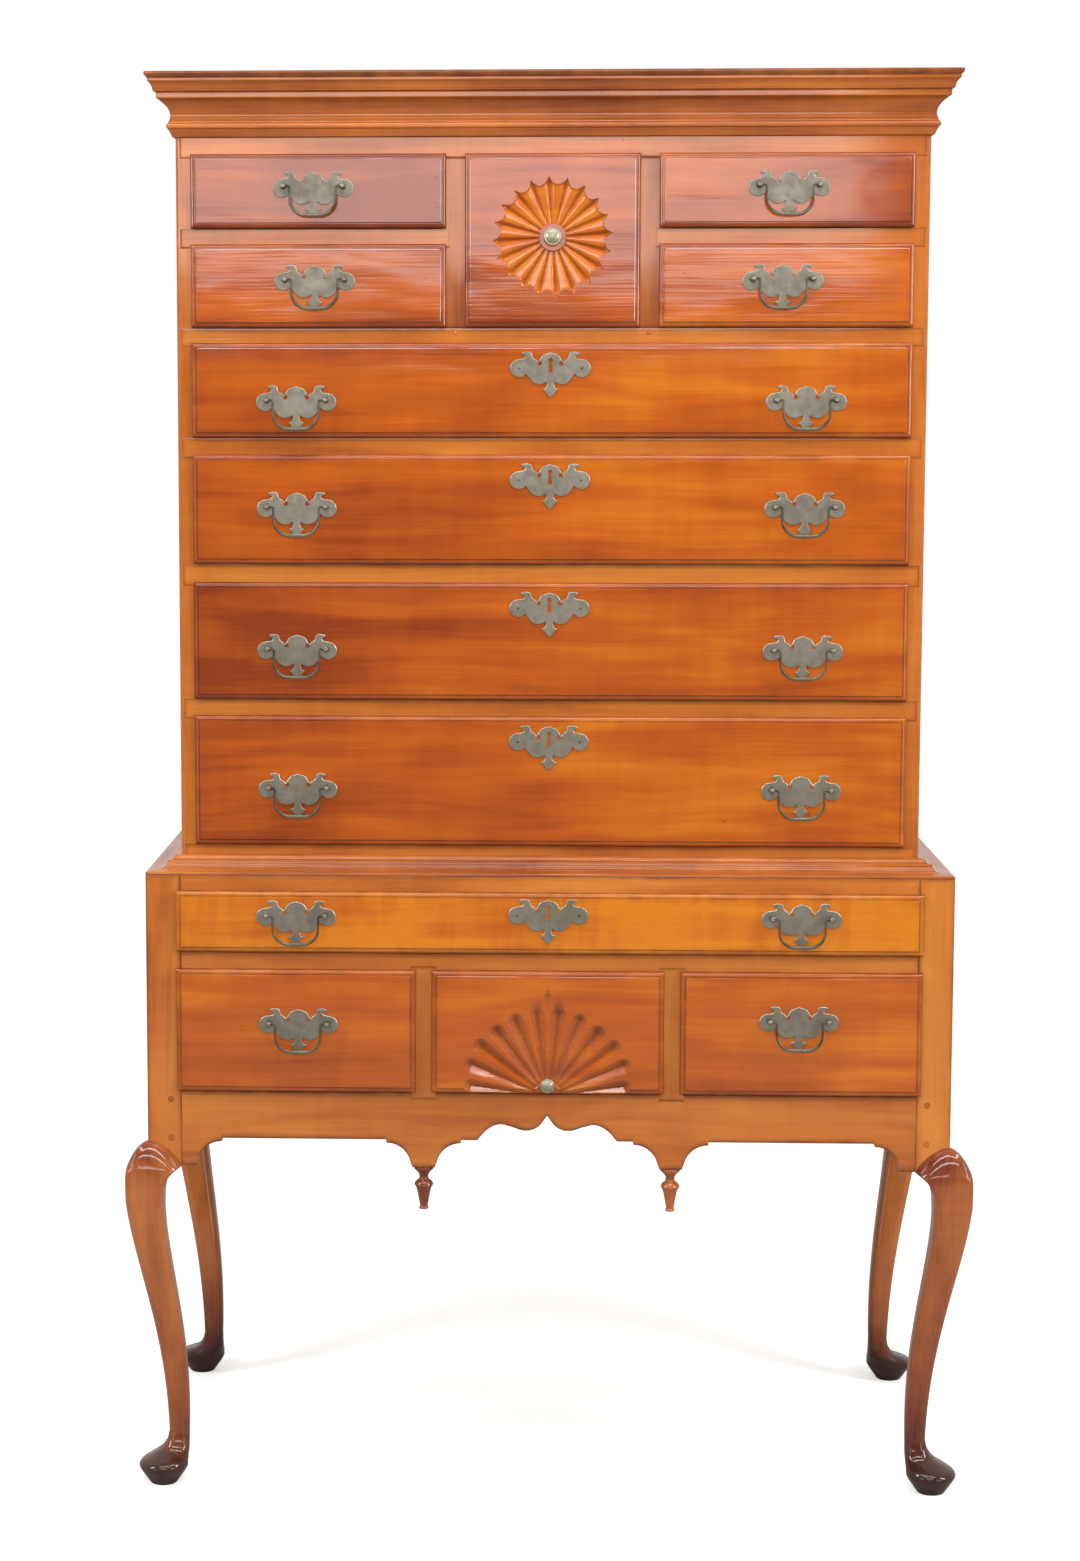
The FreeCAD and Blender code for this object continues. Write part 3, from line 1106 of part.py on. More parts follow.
for drawer in DRAWERS:
    name, middle, width = drawer["name"], drawer["middle"], drawer["width"]
    case_front = upper_front if drawer["upper"] else lower_front
    case_back = upper_back if drawer["upper"] else back_front
    foot = f"({drawer['foot']} + seat_gap)"
    face = f"({case_front} - lip_proud)"
    half_width = f"({width} / 2 - drawer_side_gap)"
    tall = f"({drawer['height']} - drawer_top_gap)"
    lip_height = f"({drawer['height']} + lip_overlap - seat_gap)"
    lip_width = f"({width} + 2 * lip_overlap)"
    margin = "(lip_round + lip_fillet)"

    lip = board(f"{name}_lip", middle, f"{face} + field_rise", foot, lip_width,
                "lip_proud - field_rise - lip_gap", lip_height)
    doc.recompute()
    front_y = lip.Shape.BoundBox.YMin
    rim = [n for n, edge in enumerate(lip.Shape.Edges, 1) if edge.BoundBox.YMax < front_y + 0.01]
    rounded = doc.addObject("Part::Fillet", f"{name}_thumbnail")
    rounded.Base = lip
    rounded.Edges = [(n, size["lip_round"], size["lip_round"]) for n in rim]
    field = board(f"{name}_field", middle, face, f"{foot} + {margin}", f"{lip_width} - 2 * {margin}",
                  "field_rise + 1", f"{lip_height} - 2 * {margin}")
    web = board(f"{name}_web", middle, f"{case_front} - lip_gap - 1", foot, f"2 * {half_width}",
                "front_web + lip_gap + 1", tall)
    core = board(f"{name}_core", middle, f"{case_front} + front_web - 1", foot,
                 f"2 * ({half_width} - drawer_side)", "front_depth - front_web + 1", tall)

    rear = f"({case_back} - drawer_rear_gap)"
    side_start = f"({case_front} + front_web)"
    inner_half = f"({half_width} - drawer_side)"
    bottom_start = f"({case_front} + front_depth - bottom_groove)"
    bottom_place = (middle, bottom_start, f"{foot} + bottom_raise",
                    f"2 * ({inner_half} + bottom_groove)", f"{rear} - {bottom_start}", "drawer_bottom")
    slot = board(f"{name}_slot", *roomy(bottom_place))

    cuts = [slot]
    brasses = []
    inside = f"({case_front} + front_depth)"
    deep = "lip_proud + front_depth + 2"
    for offset, hand in drawer["pulls"]:
        pull_x = f"({middle} + {offset})"
        pull_z = f"({drawer['foot']} + {drawer['pull_height']})"
        brasses.append(formed(f"{name}_plate{hand}", PLATE, pull_x, face, pull_z))
        for right in (-1, 1):
            post_x = f"({pull_x} + {right} * post_spacing / 2)"
            post_z = f"({pull_z} + post_rise)"
            cuts.append(bore(f"{name}_post_hole{hand}_{right}", post_x, f"{face} - 1", post_z,
                             "shank_radius + joint_clearance", deep))
            brasses.append(formed(f"{name}_post{hand}_{right}", POST, post_x, face, post_z))
            brasses.append(formed(f"{name}_nut{hand}_{right}", NUT, post_x, inside, post_z))
        handle = formed(f"{name}_bail_shape{hand}", BAIL, pull_x, f"{face} - ball_reach",
                        f"{pull_z} + post_rise")
        node(f"{name}_bail{hand}", handle)
    if drawer["lock"]:
        lock_z = f"({drawer['foot']} + {drawer['height']} - {drawer['lock']})"
        brasses.append(formed(f"{name}_escutcheon", ESCUTCHEON, middle, face, lock_z))
        cuts.append(formed(f"{name}_keyhole", KEYWAY, middle, face, lock_z))
        case = board(f"{name}_lock_case", middle, inside, f"{lock_z} + lock_rise - lock_height",
                     "lock_width", "lock_thickness", "lock_height")
        key_room = formed(f"{name}_lock_hole", KEYWAY, middle, face, lock_z)
        key_pin = bore(f"{name}_key_pin", middle, inside, f"{lock_z} + keyhole_rise",
                       "key_pin_radius", "lock_thickness - lock_wall / 2")
        brasses.append(joined(f"{name}_lock", [carved(f"{name}_lock_bored", case, [key_room]), key_pin]))
        for right in (-1, 1):
            tack_x = f"({middle} + {right} * (post_spacing / 2 + lobe_outset))"
            cuts.append(bore(f"{name}_tack_hole_{right}", tack_x, f"{face} - 1", lock_z,
                             "tack_radius + joint_clearance", "tack_length + 1"))
            brasses.append(bore(f"{name}_tack_{right}", tack_x, f"{face} - plate_thickness", lock_z,
                                "tack_radius", "tack_length + plate_thickness"))
    if drawer["carving"]:
        if drawer["carving"] == "pinwheel":
            centre_z = f"({foot} + {lip_height} / 2 + pinwheel_rise)"
            knob_z = centre_z
        else:
            centre_z = f"({foot} - fan_drop)"
            knob_z = f"({foot} + fan_knob_height)"
        cuts.append(formed(f"{name}_flutes", carving_of(drawer), middle, face, centre_z))
        cuts.append(bore(f"{name}_knob_hole", middle, f"{face} - 1", knob_z,
                         "shank_radius + joint_clearance", "knob_screw + 2"))
        knob = turned(f"{name}_knob", KNOB)
        knob.Placement = FreeCAD.Placement(Vector(), FreeCAD.Rotation(Vector(1, 0, 0), 90))
        brasses.append(bind(knob, x=middle, y=face, z=knob_z))

    front = carved(f"{name}_front", joined(f"{name}_front_blank", [rounded, field, web, core]), cuts)
    wood = [front]
    for right in (-1, 1):
        side = board(f"{name}_side_{right}", f"{middle} + {right} * ({half_width} - drawer_side / 2)",
                     side_start, foot, "drawer_side", f"{rear} - {side_start}", tall)
        wood.append(carved(f"{name}_side_grooved_{right}", side, [slot]))
    wood.append(board(f"{name}_bottom", *bottom_place))
    back_foot = f"({foot} + bottom_raise + drawer_bottom + joint_clearance)"
    wood.append(board(f"{name}_back", middle, f"{rear} - drawer_back", back_foot, f"2 * {inner_half}",
                      "drawer_back", f"{foot} + {tall} - back_drop - {back_foot}"))
    node(f"{name}_drawer", together(f"{name}_box", wood))
    node(f"{name}_brass", together(f"{name}_fittings", brasses))

# ------------------------------------------------------------------ check and write
doc.recompute()
for item in doc.Objects:
    if {"Invalid", "Error"} & set(item.State):
        raise RuntimeError(f"{item.Name} failed: {item.State}")
os.makedirs("parts", exist_ok=True)
for name, piece in NODES.items():
    if piece.Shape.isNull() or not piece.Shape.isValid():
        raise RuntimeError(f"{name} has no valid shape")
    piece.Shape.exportStep(f"parts/{name}.step")
print(f"{len(NODES)} nodes written")
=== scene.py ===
"""A flat-topped maple high chest of drawers, dressed: two cases of old varnished maple on
cabriole legs, thirteen lipped drawers, two of them carved, and brass pulls. Metres, row frame."""
import math

import bmesh
import bpy
import mathutils.geometry
import numpy as np
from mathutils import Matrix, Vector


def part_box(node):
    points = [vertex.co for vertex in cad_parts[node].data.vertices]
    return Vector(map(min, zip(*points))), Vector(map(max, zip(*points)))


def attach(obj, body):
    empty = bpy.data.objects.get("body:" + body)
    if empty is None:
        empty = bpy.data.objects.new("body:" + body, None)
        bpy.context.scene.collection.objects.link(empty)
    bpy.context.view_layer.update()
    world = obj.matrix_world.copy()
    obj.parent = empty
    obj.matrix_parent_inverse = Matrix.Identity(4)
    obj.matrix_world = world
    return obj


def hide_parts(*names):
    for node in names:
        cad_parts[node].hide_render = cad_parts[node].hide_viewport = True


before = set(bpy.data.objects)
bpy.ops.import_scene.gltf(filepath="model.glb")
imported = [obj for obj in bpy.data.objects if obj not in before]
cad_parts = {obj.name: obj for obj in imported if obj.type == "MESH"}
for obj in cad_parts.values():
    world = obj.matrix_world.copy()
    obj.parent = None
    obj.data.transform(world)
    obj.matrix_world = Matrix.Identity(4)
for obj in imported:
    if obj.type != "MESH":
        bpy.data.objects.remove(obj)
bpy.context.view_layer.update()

# ---------------------------------------------------------------- studio
# A white paper floor under the chest, a dim room in front of it and white screens behind and
# beside it. Two long lamp banks hang overhead, a broad one stands high behind the camera, and a
# wide bank and a tall window stand on each side.
scene = bpy.context.scene
scene.view_settings.view_transform = "Standard"


def tint(code):
    """A #rrggbb colour as linear red, green, blue and 1."""
    share = np.array([int(code[n:n + 2], 16) for n in (1, 3, 5)]) / 255.0
    linear = np.where(share <= 0.04045, share / 12.92, ((share + 0.055) / 1.055) ** 2.4)
    return (*map(float, linear), 1.0)


def add(tree, kind, inputs=(), **settings):
    """One shader node with its settings. Its inputs go in order or by name, and each is a value,
    the socket that feeds it, or a node that feeds it from the first of its open outputs."""
    made = tree.nodes.new("ShaderNode" + kind)
    for name, value in settings.items():
        setattr(made, name, value)
    for name, value in inputs.items() if isinstance(inputs, dict) else enumerate(inputs):
        if isinstance(value, bpy.types.Node):
            value = next(socket for socket in value.outputs if socket.enabled)
        if isinstance(value, bpy.types.NodeSocket):
            tree.links.new(value, made.inputs[name])
        else:
            made.inputs[name].default_value = value
    return made


def blank(name):
    """A new material and its empty node tree."""
    material = bpy.data.materials.new(name)
    material.use_nodes = True
    material.node_tree.nodes.clear()
    return material, material.node_tree


WHITE = (1.0, 1.0, 1.0, 1.0)
world = scene.world or bpy.data.worlds.new("studio")
scene.world = world
world.use_nodes = True
tree = world.node_tree
tree.nodes.clear()
toward = add(tree, "SeparateXYZ", (add(tree, "TexCoord").outputs["Generated"],)).outputs
behind = add(tree, "MapRange", (toward[1], -0.25, 0.3, 0.05, 0.75))
aside = add(tree, "Math", (toward[0],), operation="ABSOLUTE")
beside = add(tree, "MapRange", (aside, 0.45, 0.85, 0.0, 0.55))
level = add(tree, "Math", (behind, beside), operation="MAXIMUM")
room = add(tree, "Background", ((1.0, 0.985, 0.96, 1.0), level))
white = add(tree, "Background", (WHITE, 1.0))
shown = add(tree, "MixShader", (add(tree, "LightPath").outputs["Is Camera Ray"], room, white))
add(tree, "OutputWorld", (shown,))

material, tree = blank("white_paper")
seen = add(tree, "LightPath").outputs["Is Camera Ray"]
away = add(tree, "VectorMath", (add(tree, "TexCoord").outputs["Object"],), operation="LENGTH")
glow = add(tree, "MapRange", (away.outputs["Value"], 1.5, 6.5, 0.5, 0.7))
tone = add(tree, "Mix", {0: seen, 6: tint("#A9A8A4"), 7: tint("#E6E5E2")}, data_type="RGBA")
lit = add(tree, "Emission", (WHITE, add(tree, "Math", (seen, glow), operation="MULTIPLY")))
both = add(tree, "AddShader", (add(tree, "BsdfDiffuse", (tone,)), lit))
add(tree, "OutputMaterial", (both,))
wide = 30.0
mesh = bpy.data.meshes.new("floor")
mesh.from_pydata([(-wide, -wide, 0.0), (wide, -wide, 0.0), (wide, wide, 0.0), (-wide, wide, 0.0)], [],
                 [(0, 1, 2, 3)])
mesh.materials.append(material)
floor = bpy.data.objects.new("floor", mesh)
scene.collection.objects.link(floor)


def facing(place, aim):
    """The turn that points a camera or lamp, which looks down its own -Z, from place to aim."""
    ahead = np.array(aim, float) - np.array(place, float)
    ahead /= np.linalg.norm(ahead)
    side = np.cross(ahead, (0.0, 0.0, 1.0))
    side /= np.linalg.norm(side)
    above = np.cross(side, ahead)
    turn = np.eye(4)
    turn[:3, 0], turn[:3, 1], turn[:3, 2], turn[:3, 3] = side, above, -ahead, place
    return turn.T.tolist()


def lamp(name, place, aim, width, height, level):
    """A soft rectangular lamp; level is how bright its face is, where 1 is white paper."""
    light = bpy.data.lights.new(name, "AREA")
    light.shape, light.size, light.size_y = "RECTANGLE", width, height
    light.energy = level * math.pi * width * height
    holder = bpy.data.objects.new(name, light)
    holder.matrix_world = facing(place, aim)
    scene.collection.objects.link(holder)


lamp("wall_bank", (-0.15, -3.95, 2.03), (-0.1, -0.2, 1.5), 1.9, 0.78, 5.4)
lamp("near_bank", (0.0, -0.95, 3.2), (0.0, -0.75, 0.0), 2.8, 0.24, 14.0)
lamp("far_bank", (0.0, -2.3, 3.1), (0.0, -1.5, 0.0), 2.8, 0.22, 13.0)
lamp("left_bank", (-2.3, -3.1, 1.15), (0.0, -0.2, 0.9), 1.3, 2.0, 1.6)
lamp("right_bank", (2.3, -3.1, 1.15), (0.0, -0.2, 0.9), 1.3, 2.0, 2.3)
lamp("left_window", (-2.5, -1.3, 2.3), (0.0, -0.2, 1.3), 0.6, 1.5, 13.5)
lamp("right_window", (2.5, -1.3, 2.1), (0.0, -0.2, 1.2), 0.6, 1.8, 14.0)

camera = bpy.data.cameras.new("camera")
camera.lens, camera.sensor_width = 67.99, 36.0
camera.shift_x, camera.shift_y = 0.0766, -0.0271
holder = bpy.data.objects.new("camera", camera)
place = np.array((-0.02006, -3.70817, 1.30199))
yaw, pitch = math.radians(-2.18), math.radians(-6.23)
holder.matrix_world = facing(place, place + (math.sin(yaw) * math.cos(pitch),
                                             math.cos(yaw) * math.cos(pitch), math.sin(pitch)))
scene.collection.objects.link(holder)
scene.camera = holder

# ---------------------------------------------------------------- cabriole legs
# Four legs, each sawn and shaped with its square post from one maple blank: a knee that swells
# from the corner of the case, a shin that thins to the ankle, and a turned pad foot.


def smooth(knots, values, places):
    """Cubic through the knots whose slope at each knot is the mean of the slopes beside it."""
    knots, values, places = (np.asarray(part, float) for part in (knots, values, places))
    slopes = np.gradient(values, knots)
    n = np.clip(np.searchsorted(knots, places) - 1, 0, len(knots) - 2)
    wide = knots[n + 1] - knots[n]
    s = (places - knots[n]) / wide
    return ((2 * s ** 3 - 3 * s ** 2 + 1) * values[n] + (s ** 3 - 2 * s ** 2 + s) * wide * slopes[n]
            + (3 * s ** 2 - 2 * s ** 3) * values[n + 1] + (s ** 3 - s ** 2) * wide * slopes[n + 1])


def quads(rows, columns, around=False):
    """The faces of a grid of points, closed round its columns if asked."""
    row = np.arange(rows - 1)[:, None] * columns
    step = np.arange(columns if around else columns - 1)[None, :]
    after = (step + 1) % columns
    corners = np.stack([row + step, row + after, row + columns + after, row + columns + step], -1)
    return corners.reshape(-1, 4)


def cut(points, faces, along, wear=0.0, tone=0.0, curl=0.1, seed=0.0):
    """One piece of wood: doubled points merged, with its own grain: along is 0, 1 or 2 for wood
    that runs in X, Y or Z, and the seed moves the figure so that no two boards are alike."""
    points = np.asarray(points, float).reshape(-1, 3)
    _, first, number = np.unique(np.round(points, 7), axis=0, return_index=True, return_inverse=True)
    faces = number.reshape(-1)[np.concatenate([np.asarray(part).reshape(-1, 4) for part in faces])]
    order = [along] + [axis for axis in (2, 0, 1) if axis != along]
    shift = np.array((7.31, 3.77, 1.93)) * (seed + 1.0)
    kept = points[first]
    # The wear share darkens a point towards the grime colour; some pieces put painted shade and shadow in it.
    wear, tone = (np.broadcast_to(np.asarray(part, float).reshape(-1), len(points))[first]
                  for part in (wear, tone))
    mood = np.stack([tone, np.full(len(kept), curl), wear], -1)
    return kept, faces, kept[:, order] + shift, mood


def rounded(corners, radius, steps=8, straight=12):
    """Closed sections with rounded corners, one for each row of four corners: at a corner the
    arc is the conic that leaves one side and meets the next, and between arcs the side is straight."""
    before, after = np.roll(corners, 1, 1) - corners, np.roll(corners, -1, 1) - corners
    before_length = np.linalg.norm(before, axis=2, keepdims=True)
    after_length = np.linalg.norm(after, axis=2, keepdims=True)
    before, after = before / before_length, after / after_length
    half = np.arccos(np.clip((before * after).sum(2, keepdims=True), -1, 1)) / 2
    back = np.minimum(radius[:, None, None] / np.tan(half),
                      0.495 * np.minimum(before_length, after_length))
    start, end = corners + before * back, corners + after * back
    t = np.linspace(0, 1, steps + 1)[:, None, None, None]
    weight = 2 * np.sin(half) * t * (1 - t)
    arcs = ((1 - t) ** 2 * start + weight * corners + t ** 2 * end) / ((1 - t) ** 2 + weight + t ** 2)
    t = (np.arange(1, straight) / straight)[:, None, None, None]
    sides = end + (np.roll(start, -1, 1) - end) * t
    return np.concatenate([arcs, sides]).transpose(1, 2, 0, 3).reshape(len(corners), -1, 2)


def capped(rings):
    """Rings of points, (rows, columns, 3), closed at both ends by a point in the middle."""
    low, high = rings[:1].mean(1, keepdims=True), rings[-1:].mean(1, keepdims=True)
    rings = np.concatenate([np.repeat(low, rings.shape[1], 1), rings,
                            np.repeat(high, rings.shape[1], 1)])
    return rings, quads(*rings.shape[:2], True)


def board(low, high, along, radius=0.001, **look):
    """A planed board with softened arrises: grid lines gather at the edges, and each point is
    the radius away from a box that is smaller by the radius all round."""
    low, high = np.asarray(low, float), np.asarray(high, float)
    radius = min(radius, *(0.45 * (high - low)))
    ease = np.array([0.0, 0.586, 1.0, 1.0, 1.0]) * radius + np.array([0, 0, 0, 0.002, 0.007])
    points, faces, wear, count = [], [], [], 0
    for axis in range(3):
        one, two = [other for other in range(3) if other != axis]
        lines = [np.unique(np.clip(np.concatenate([low[a] + ease, high[a] - ease]), low[a], high[a]))
                 for a in (one, two)]
        for level in (low[axis], high[axis]):
            face = np.empty((len(lines[0]), len(lines[1]), 3))
            face[..., one], face[..., two] = lines[0][:, None], lines[1][None, :]
            face[..., axis] = level
            edge = np.minimum(np.minimum(face - low, high - face)[..., [one, two]].min(-1), 1.0)
            core = np.clip(face, low + radius, high - radius)
            off = face - core
            face = core + radius * off / np.linalg.norm(off, axis=-1, keepdims=True)
            faces.append(quads(*face.shape[:2]) + count)
            points.append(face.reshape(-1, 3))
            wear.append(np.exp(-edge / 0.0022).reshape(-1))
            count += len(points[-1])
    return cut(np.concatenate(points), faces, along, np.concatenate(wear), **look)


def piece(name, solids, material, body, nodes=(), crease=36):
    """A finished piece from its solids: one mesh with the grain and the mood of every point."""
    counts = np.cumsum([0] + [len(part[0]) for part in solids])
    faces = np.concatenate([part[1] + count for part, count in zip(solids, counts)])
    doubled = (faces == np.roll(faces, -1, 1)).any(1)
    folded = [list(dict.fromkeys(row)) for row in faces[doubled].tolist()]
    mesh = bpy.data.meshes.new(name)
    mesh.from_pydata(np.concatenate([part[0] for part in solids]).tolist(), [],
                     faces[~doubled].tolist() + [row for row in folded if len(row) > 2])
    for kind, place in (("grain", 2), ("mood", 3)):
        values = mesh.attributes.new(kind, "FLOAT_VECTOR", "POINT")
        values.data.foreach_set("vector", np.concatenate([part[place] for part in solids]).ravel())
    rounds = bmesh.new()
    rounds.from_mesh(mesh)
    bmesh.ops.recalc_face_normals(rounds, faces=rounds.faces)
    rounds.to_mesh(mesh)
    rounds.free()
    mesh.shade_smooth()
    mesh.set_sharp_from_angle(angle=math.radians(crease))
    mesh.materials.append(material)
    made = bpy.data.objects.new(name, mesh)
    scene.collection.objects.link(made)
    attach(made, body)
    if nodes:
        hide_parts(*nodes)
    return made


def maple(name, pale, middle, dark, grime="#3C1808", varnish=1.0):
    """Maple, planed by hand and varnished: broad bands of late wood 20 mm apart run along the
    board, with streaks 3 mm wide, a curl 11 mm apart where the mood asks for it, a dark grime
    where the mood's wear asks for it, which on some pieces is painted shade and shadow, dents and
    specks. The eye gets a deep, warm, even body colour under a glossy old varnish that lies in slow
    waves, so that reflections waver."""
    material, tree = blank(name)
    grain = add(tree, "Attribute", attribute_name="grain").outputs["Vector"]
    mood = add(tree, "Attribute", attribute_name="mood").outputs["Vector"]
    hue, curly, wear = add(tree, "SeparateXYZ", (mood,)).outputs
    slow = add(tree, "VectorMath", (grain, (2.6, 11.0, 11.0)), operation="MULTIPLY")
    wander = add(tree, "TexNoise", {"Vector": slow, "Scale": 1.0, "Detail": 2.0}).outputs["Color"]

    def stretched(scale, detail, sway):
        """Noise with its own number of features a metre along, across and through the board,
        swayed by a slow wander so that no line is straight."""
        place = add(tree, "VectorMath", (grain, scale), operation="MULTIPLY")
        place = add(tree, "VectorMath", (wander, (sway, sway, sway), place), operation="MULTIPLY_ADD")
        return add(tree, "TexNoise", {"Vector": place, "Scale": 1.0, "Detail": detail})

    bands = stretched((1.6, 44.0, 44.0), 2.0, 2.6)
    streaks = stretched((9.0, 330.0, 330.0), 2.0, 3.0)
    clouds = stretched((5.0, 9.0, 9.0), 2.0, 1.2)
    curls = add(tree, "MapRange", (stretched((88.0, 9.0, 9.0), 0.0, 1.6), 0.35, 0.65, -0.2, 0.2))
    level = add(tree, "MapRange", (bands, 0.32, 0.68, -0.15, 0.15))
    for value in (add(tree, "MapRange", (streaks, 0.3, 0.7, -0.06, 0.06)),
                  add(tree, "MapRange", (clouds, 0.3, 0.7, -0.2, 0.2)),
                  add(tree, "Math", (curls, curly), operation="MULTIPLY"), hue):
        level = add(tree, "Math", (level, value), operation="ADD")
    rub = add(tree, "TexNoise", {"Vector": grain, "Scale": 36.0, "Detail": 3.0})
    lying = add(tree, "MapRange", (rub, 0.35, 0.65, 0.6, 1.0))
    # The wear share mixes in the grime colour: worn arrises and dirt, and on some pieces painted shade and
    # shadow.
    dirty = add(tree, "Math", (wear, lying), operation="MULTIPLY")
    dents = add(tree, "TexVoronoi", {"Vector": grain, "Scale": 17.0}).outputs["Distance"]
    body = tint(dark)
    for value, low, high, start, end, colour in (
            (level, -0.5, 0.0, 0.0, 1.0, middle), (level, 0.0, 0.5, 0.0, 1.0, pale),
            (dirty, 0.1, 1.0, 0.0, 0.9, grime), (dents, 0.014, 0.03, 0.7, 0.0, grime)):
        share = add(tree, "MapRange", (value, low, high, start, end))
        body = add(tree, "Mix", {0: share, 6: body, 7: tint(colour)}, data_type="RGBA")
    bump = add(tree, "Bump", {"Strength": 0.12, "Distance": 0.0004, "Height": streaks})
    waves = add(tree, "Bump", {"Strength": 0.22, "Distance": 0.004, "Height": clouds, "Normal": bump})
    add(tree, "OutputMaterial", (add(tree, "BsdfPrincipled", {
        "Base Color": body, "Roughness": add(tree, "MapRange", (rub, 0.3, 0.7, 0.5, 0.62)), "IOR": 1.5,
        "Specular IOR Level": 0.12, "Normal": bump, "Coat Weight": varnish, "Coat Roughness": 0.09,
        "Coat IOR": 1.5, "Coat Normal": waves}),))
    return material


leg_maple = maple("varnished_maple_legs", "#C87839", "#AC5D2D", "#6A2C1A", "#2E1412")
case_maple = maple("varnished_maple_case", "#D68434", "#BE6824", "#8A3E18", varnish=0.85)

post, lower_top = 0.0415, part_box("front_left_leg")[1].z
leg_height, knee_start, knee_sweep, knee_level = 0.4345, 0.004, 0.030, 0.360
knee_reach, knee_half, ankle_level, ankle_half, ankle_inset = 0.0258, 0.02275, 0.060, 0.0123, 0.0317
pad_radius, pad_height, pad_inset = 0.030, 0.0235, 0.0138
arris, knee_edge, post_clear = 0.0006, 0.009, 0.0003
case_half = {"x": 0.4825, "y": 0.2285}


def knee_rise(level, across):
    """How far the knee has swelled out from the case, from 0 to 1: a rounded rise that starts
    lower the further the place lies across the post."""
    top = leg_height - knee_start - knee_sweep * np.clip(across / post, 0, 1) ** 2
    share = np.clip((top - level) / (top - knee_level), 0, 1)
    return (1 - (1 - share) ** 3) ** 0.64


def knee_part(level, cover, turn):
    """The knee's sections at each level: the outer corner is pushed out along the rise, the inner
    corner covers the post, turn draws it in to a square, and the two outer sides are domed."""
    start = leg_height - knee_start
    radius = arris + (knee_edge - arris) * (start - level) / (start - knee_level)
    full = knee_rise(level, 0)
    outward = (knee_reach + 0.6 * radius * (1 - turn)) * full
    covered = post - post_clear
    inner = covered * cover + (2 * knee_half - knee_reach - covered) * turn
    side = outward * knee_rise(level, inner) / full
    corners = np.stack([np.stack([-outward, -outward], -1), np.stack([inner, -side], -1),
                        np.stack([inner, inner], -1), np.stack([-side, inner], -1)], 1)
    flat = rounded(corners, radius)
    domed = flat.copy()
    level, full, outward, inner, side = (part[:, None] for part in (level, full, outward, inner, side))
    for across, out in ((0, 1), (1, 0)):
        place = np.clip(flat[..., across], -outward, inner)
        line = (outward - side) * (place + outward) / (inner + outward) - outward
        swell = -outward * knee_rise(level, place) / full - line
        domed[..., out] += swell * np.clip((flat[..., across] - flat[..., out]) / 0.006, 0, 1)
    return domed, level[:, 0]


def square_part(middle, half, roundness, level):
    """Square sections with rounded corners whose middles lie on the diagonal of the leg."""
    low, high = middle - half, middle + half
    pairs = (low, low), (high, low), (high, high), (low, high)
    return rounded(np.stack([np.stack(pair, -1) for pair in pairs], 1), roundness * half), level


def leg_sections():
    """The sections of one leg from the top of the knee down to its sole, about its outer corner."""
    start = leg_height - knee_start
    foot = start - knee_sweep
    cover = np.linspace(0.01, 1.0, 22) ** 1.3
    crown = knee_part(start - cover * knee_sweep, np.sqrt(cover), 0 * cover)
    fall = np.linspace(0, 1, 20)[1:]
    swell = knee_part(foot + (knee_level - foot) * fall, 1 + 0 * fall, (1 - (1 - fall) ** 3) ** 0.8)
    fall = np.linspace(0, 1, 36)[1:]
    bend = (1 - np.cos(math.pi * fall ** 0.77)) / 2
    inset = knee_half - knee_reach
    shin = square_part(inset + (ankle_inset - inset) * bend,
                       knee_half + (ankle_half - knee_half) * fall ** 0.8, 0.42 + 0.3 * fall,
                       knee_level + (ankle_level - knee_level) * fall)
    fall = np.linspace(0, 1, 16)[1:]
    spread = smooth((0, 0.36, 0.63, 0.76, 0.9, 1.0), (0, 0.11, 0.38, 0.67, 0.935, 1.0), fall)
    toe = square_part(ankle_inset + (pad_inset - ankle_inset) * spread,
                      ankle_half + (pad_radius - ankle_half) * spread, 0.72 + 0.27 * spread,
                      ankle_level + (pad_height - ankle_level) * fall)
    half = np.array([30.0, 29.9, 29.0, 26.6, 22.4, 18.6, 16.9, 16.2]) / 1000
    pad = square_part(0 * half + pad_inset, half, 0 * half + 0.995,
                      np.array([22.6, 21.0, 18.6, 14.6, 8.6, 3.2, 0.8, 0.0]) / 1000)
    flat, level = (np.concatenate(column) for column in zip(crown, swell, shin, toe, pad))
    return np.concatenate([flat, np.broadcast_to(level[:, None, None], (*flat.shape[:2], 1))], -1)


sections = leg_sections()
for n, (corner, x, y, hue) in enumerate((("front_left", -1, -1, 0.05), ("front_right", 1, -1, -0.22),
                                         ("back_left", -1, 1, -0.06), ("back_right", 1, 1, 0.22))):
    outer = np.array((x * case_half["x"], y * case_half["y"], 0.0))
    rings, faces = capped(sections * (-x, -y, 1.0) + outer)
    z = rings[..., 2]
    # Darker towards the foot and in a thin band where the knee meets the case. The knee's top is also toned
    # darker: painted shade, for a face that turns upward.
    dark = 3.0 * np.exp(-z / 0.04) + 0.35 * np.exp(-np.abs(z - 0.43) / 0.006)
    tone = 0.16 + hue - 0.8 * np.exp(-z / 0.1) - 0.5 * np.exp(-np.abs(z - 0.415) / 0.03)
    inner = outer - (x * post, y * post, 0.0)
    stile = board(np.minimum(outer, inner) + (0, 0, leg_height - knee_start - knee_sweep),
                  np.maximum(outer, inner) + (0, 0, lower_top), 2, 0.0012, tone=0.19 + 0.12 * x, seed=n)
    piece(corner + "_cabriole", [cut(rings, [faces], 2, dark, tone, seed=n)], leg_maple, "carcass",
          [corner + "_leg"], 70)
    piece(corner + "_post", [stile], case_maple, "carcass", [corner + "_leg"])

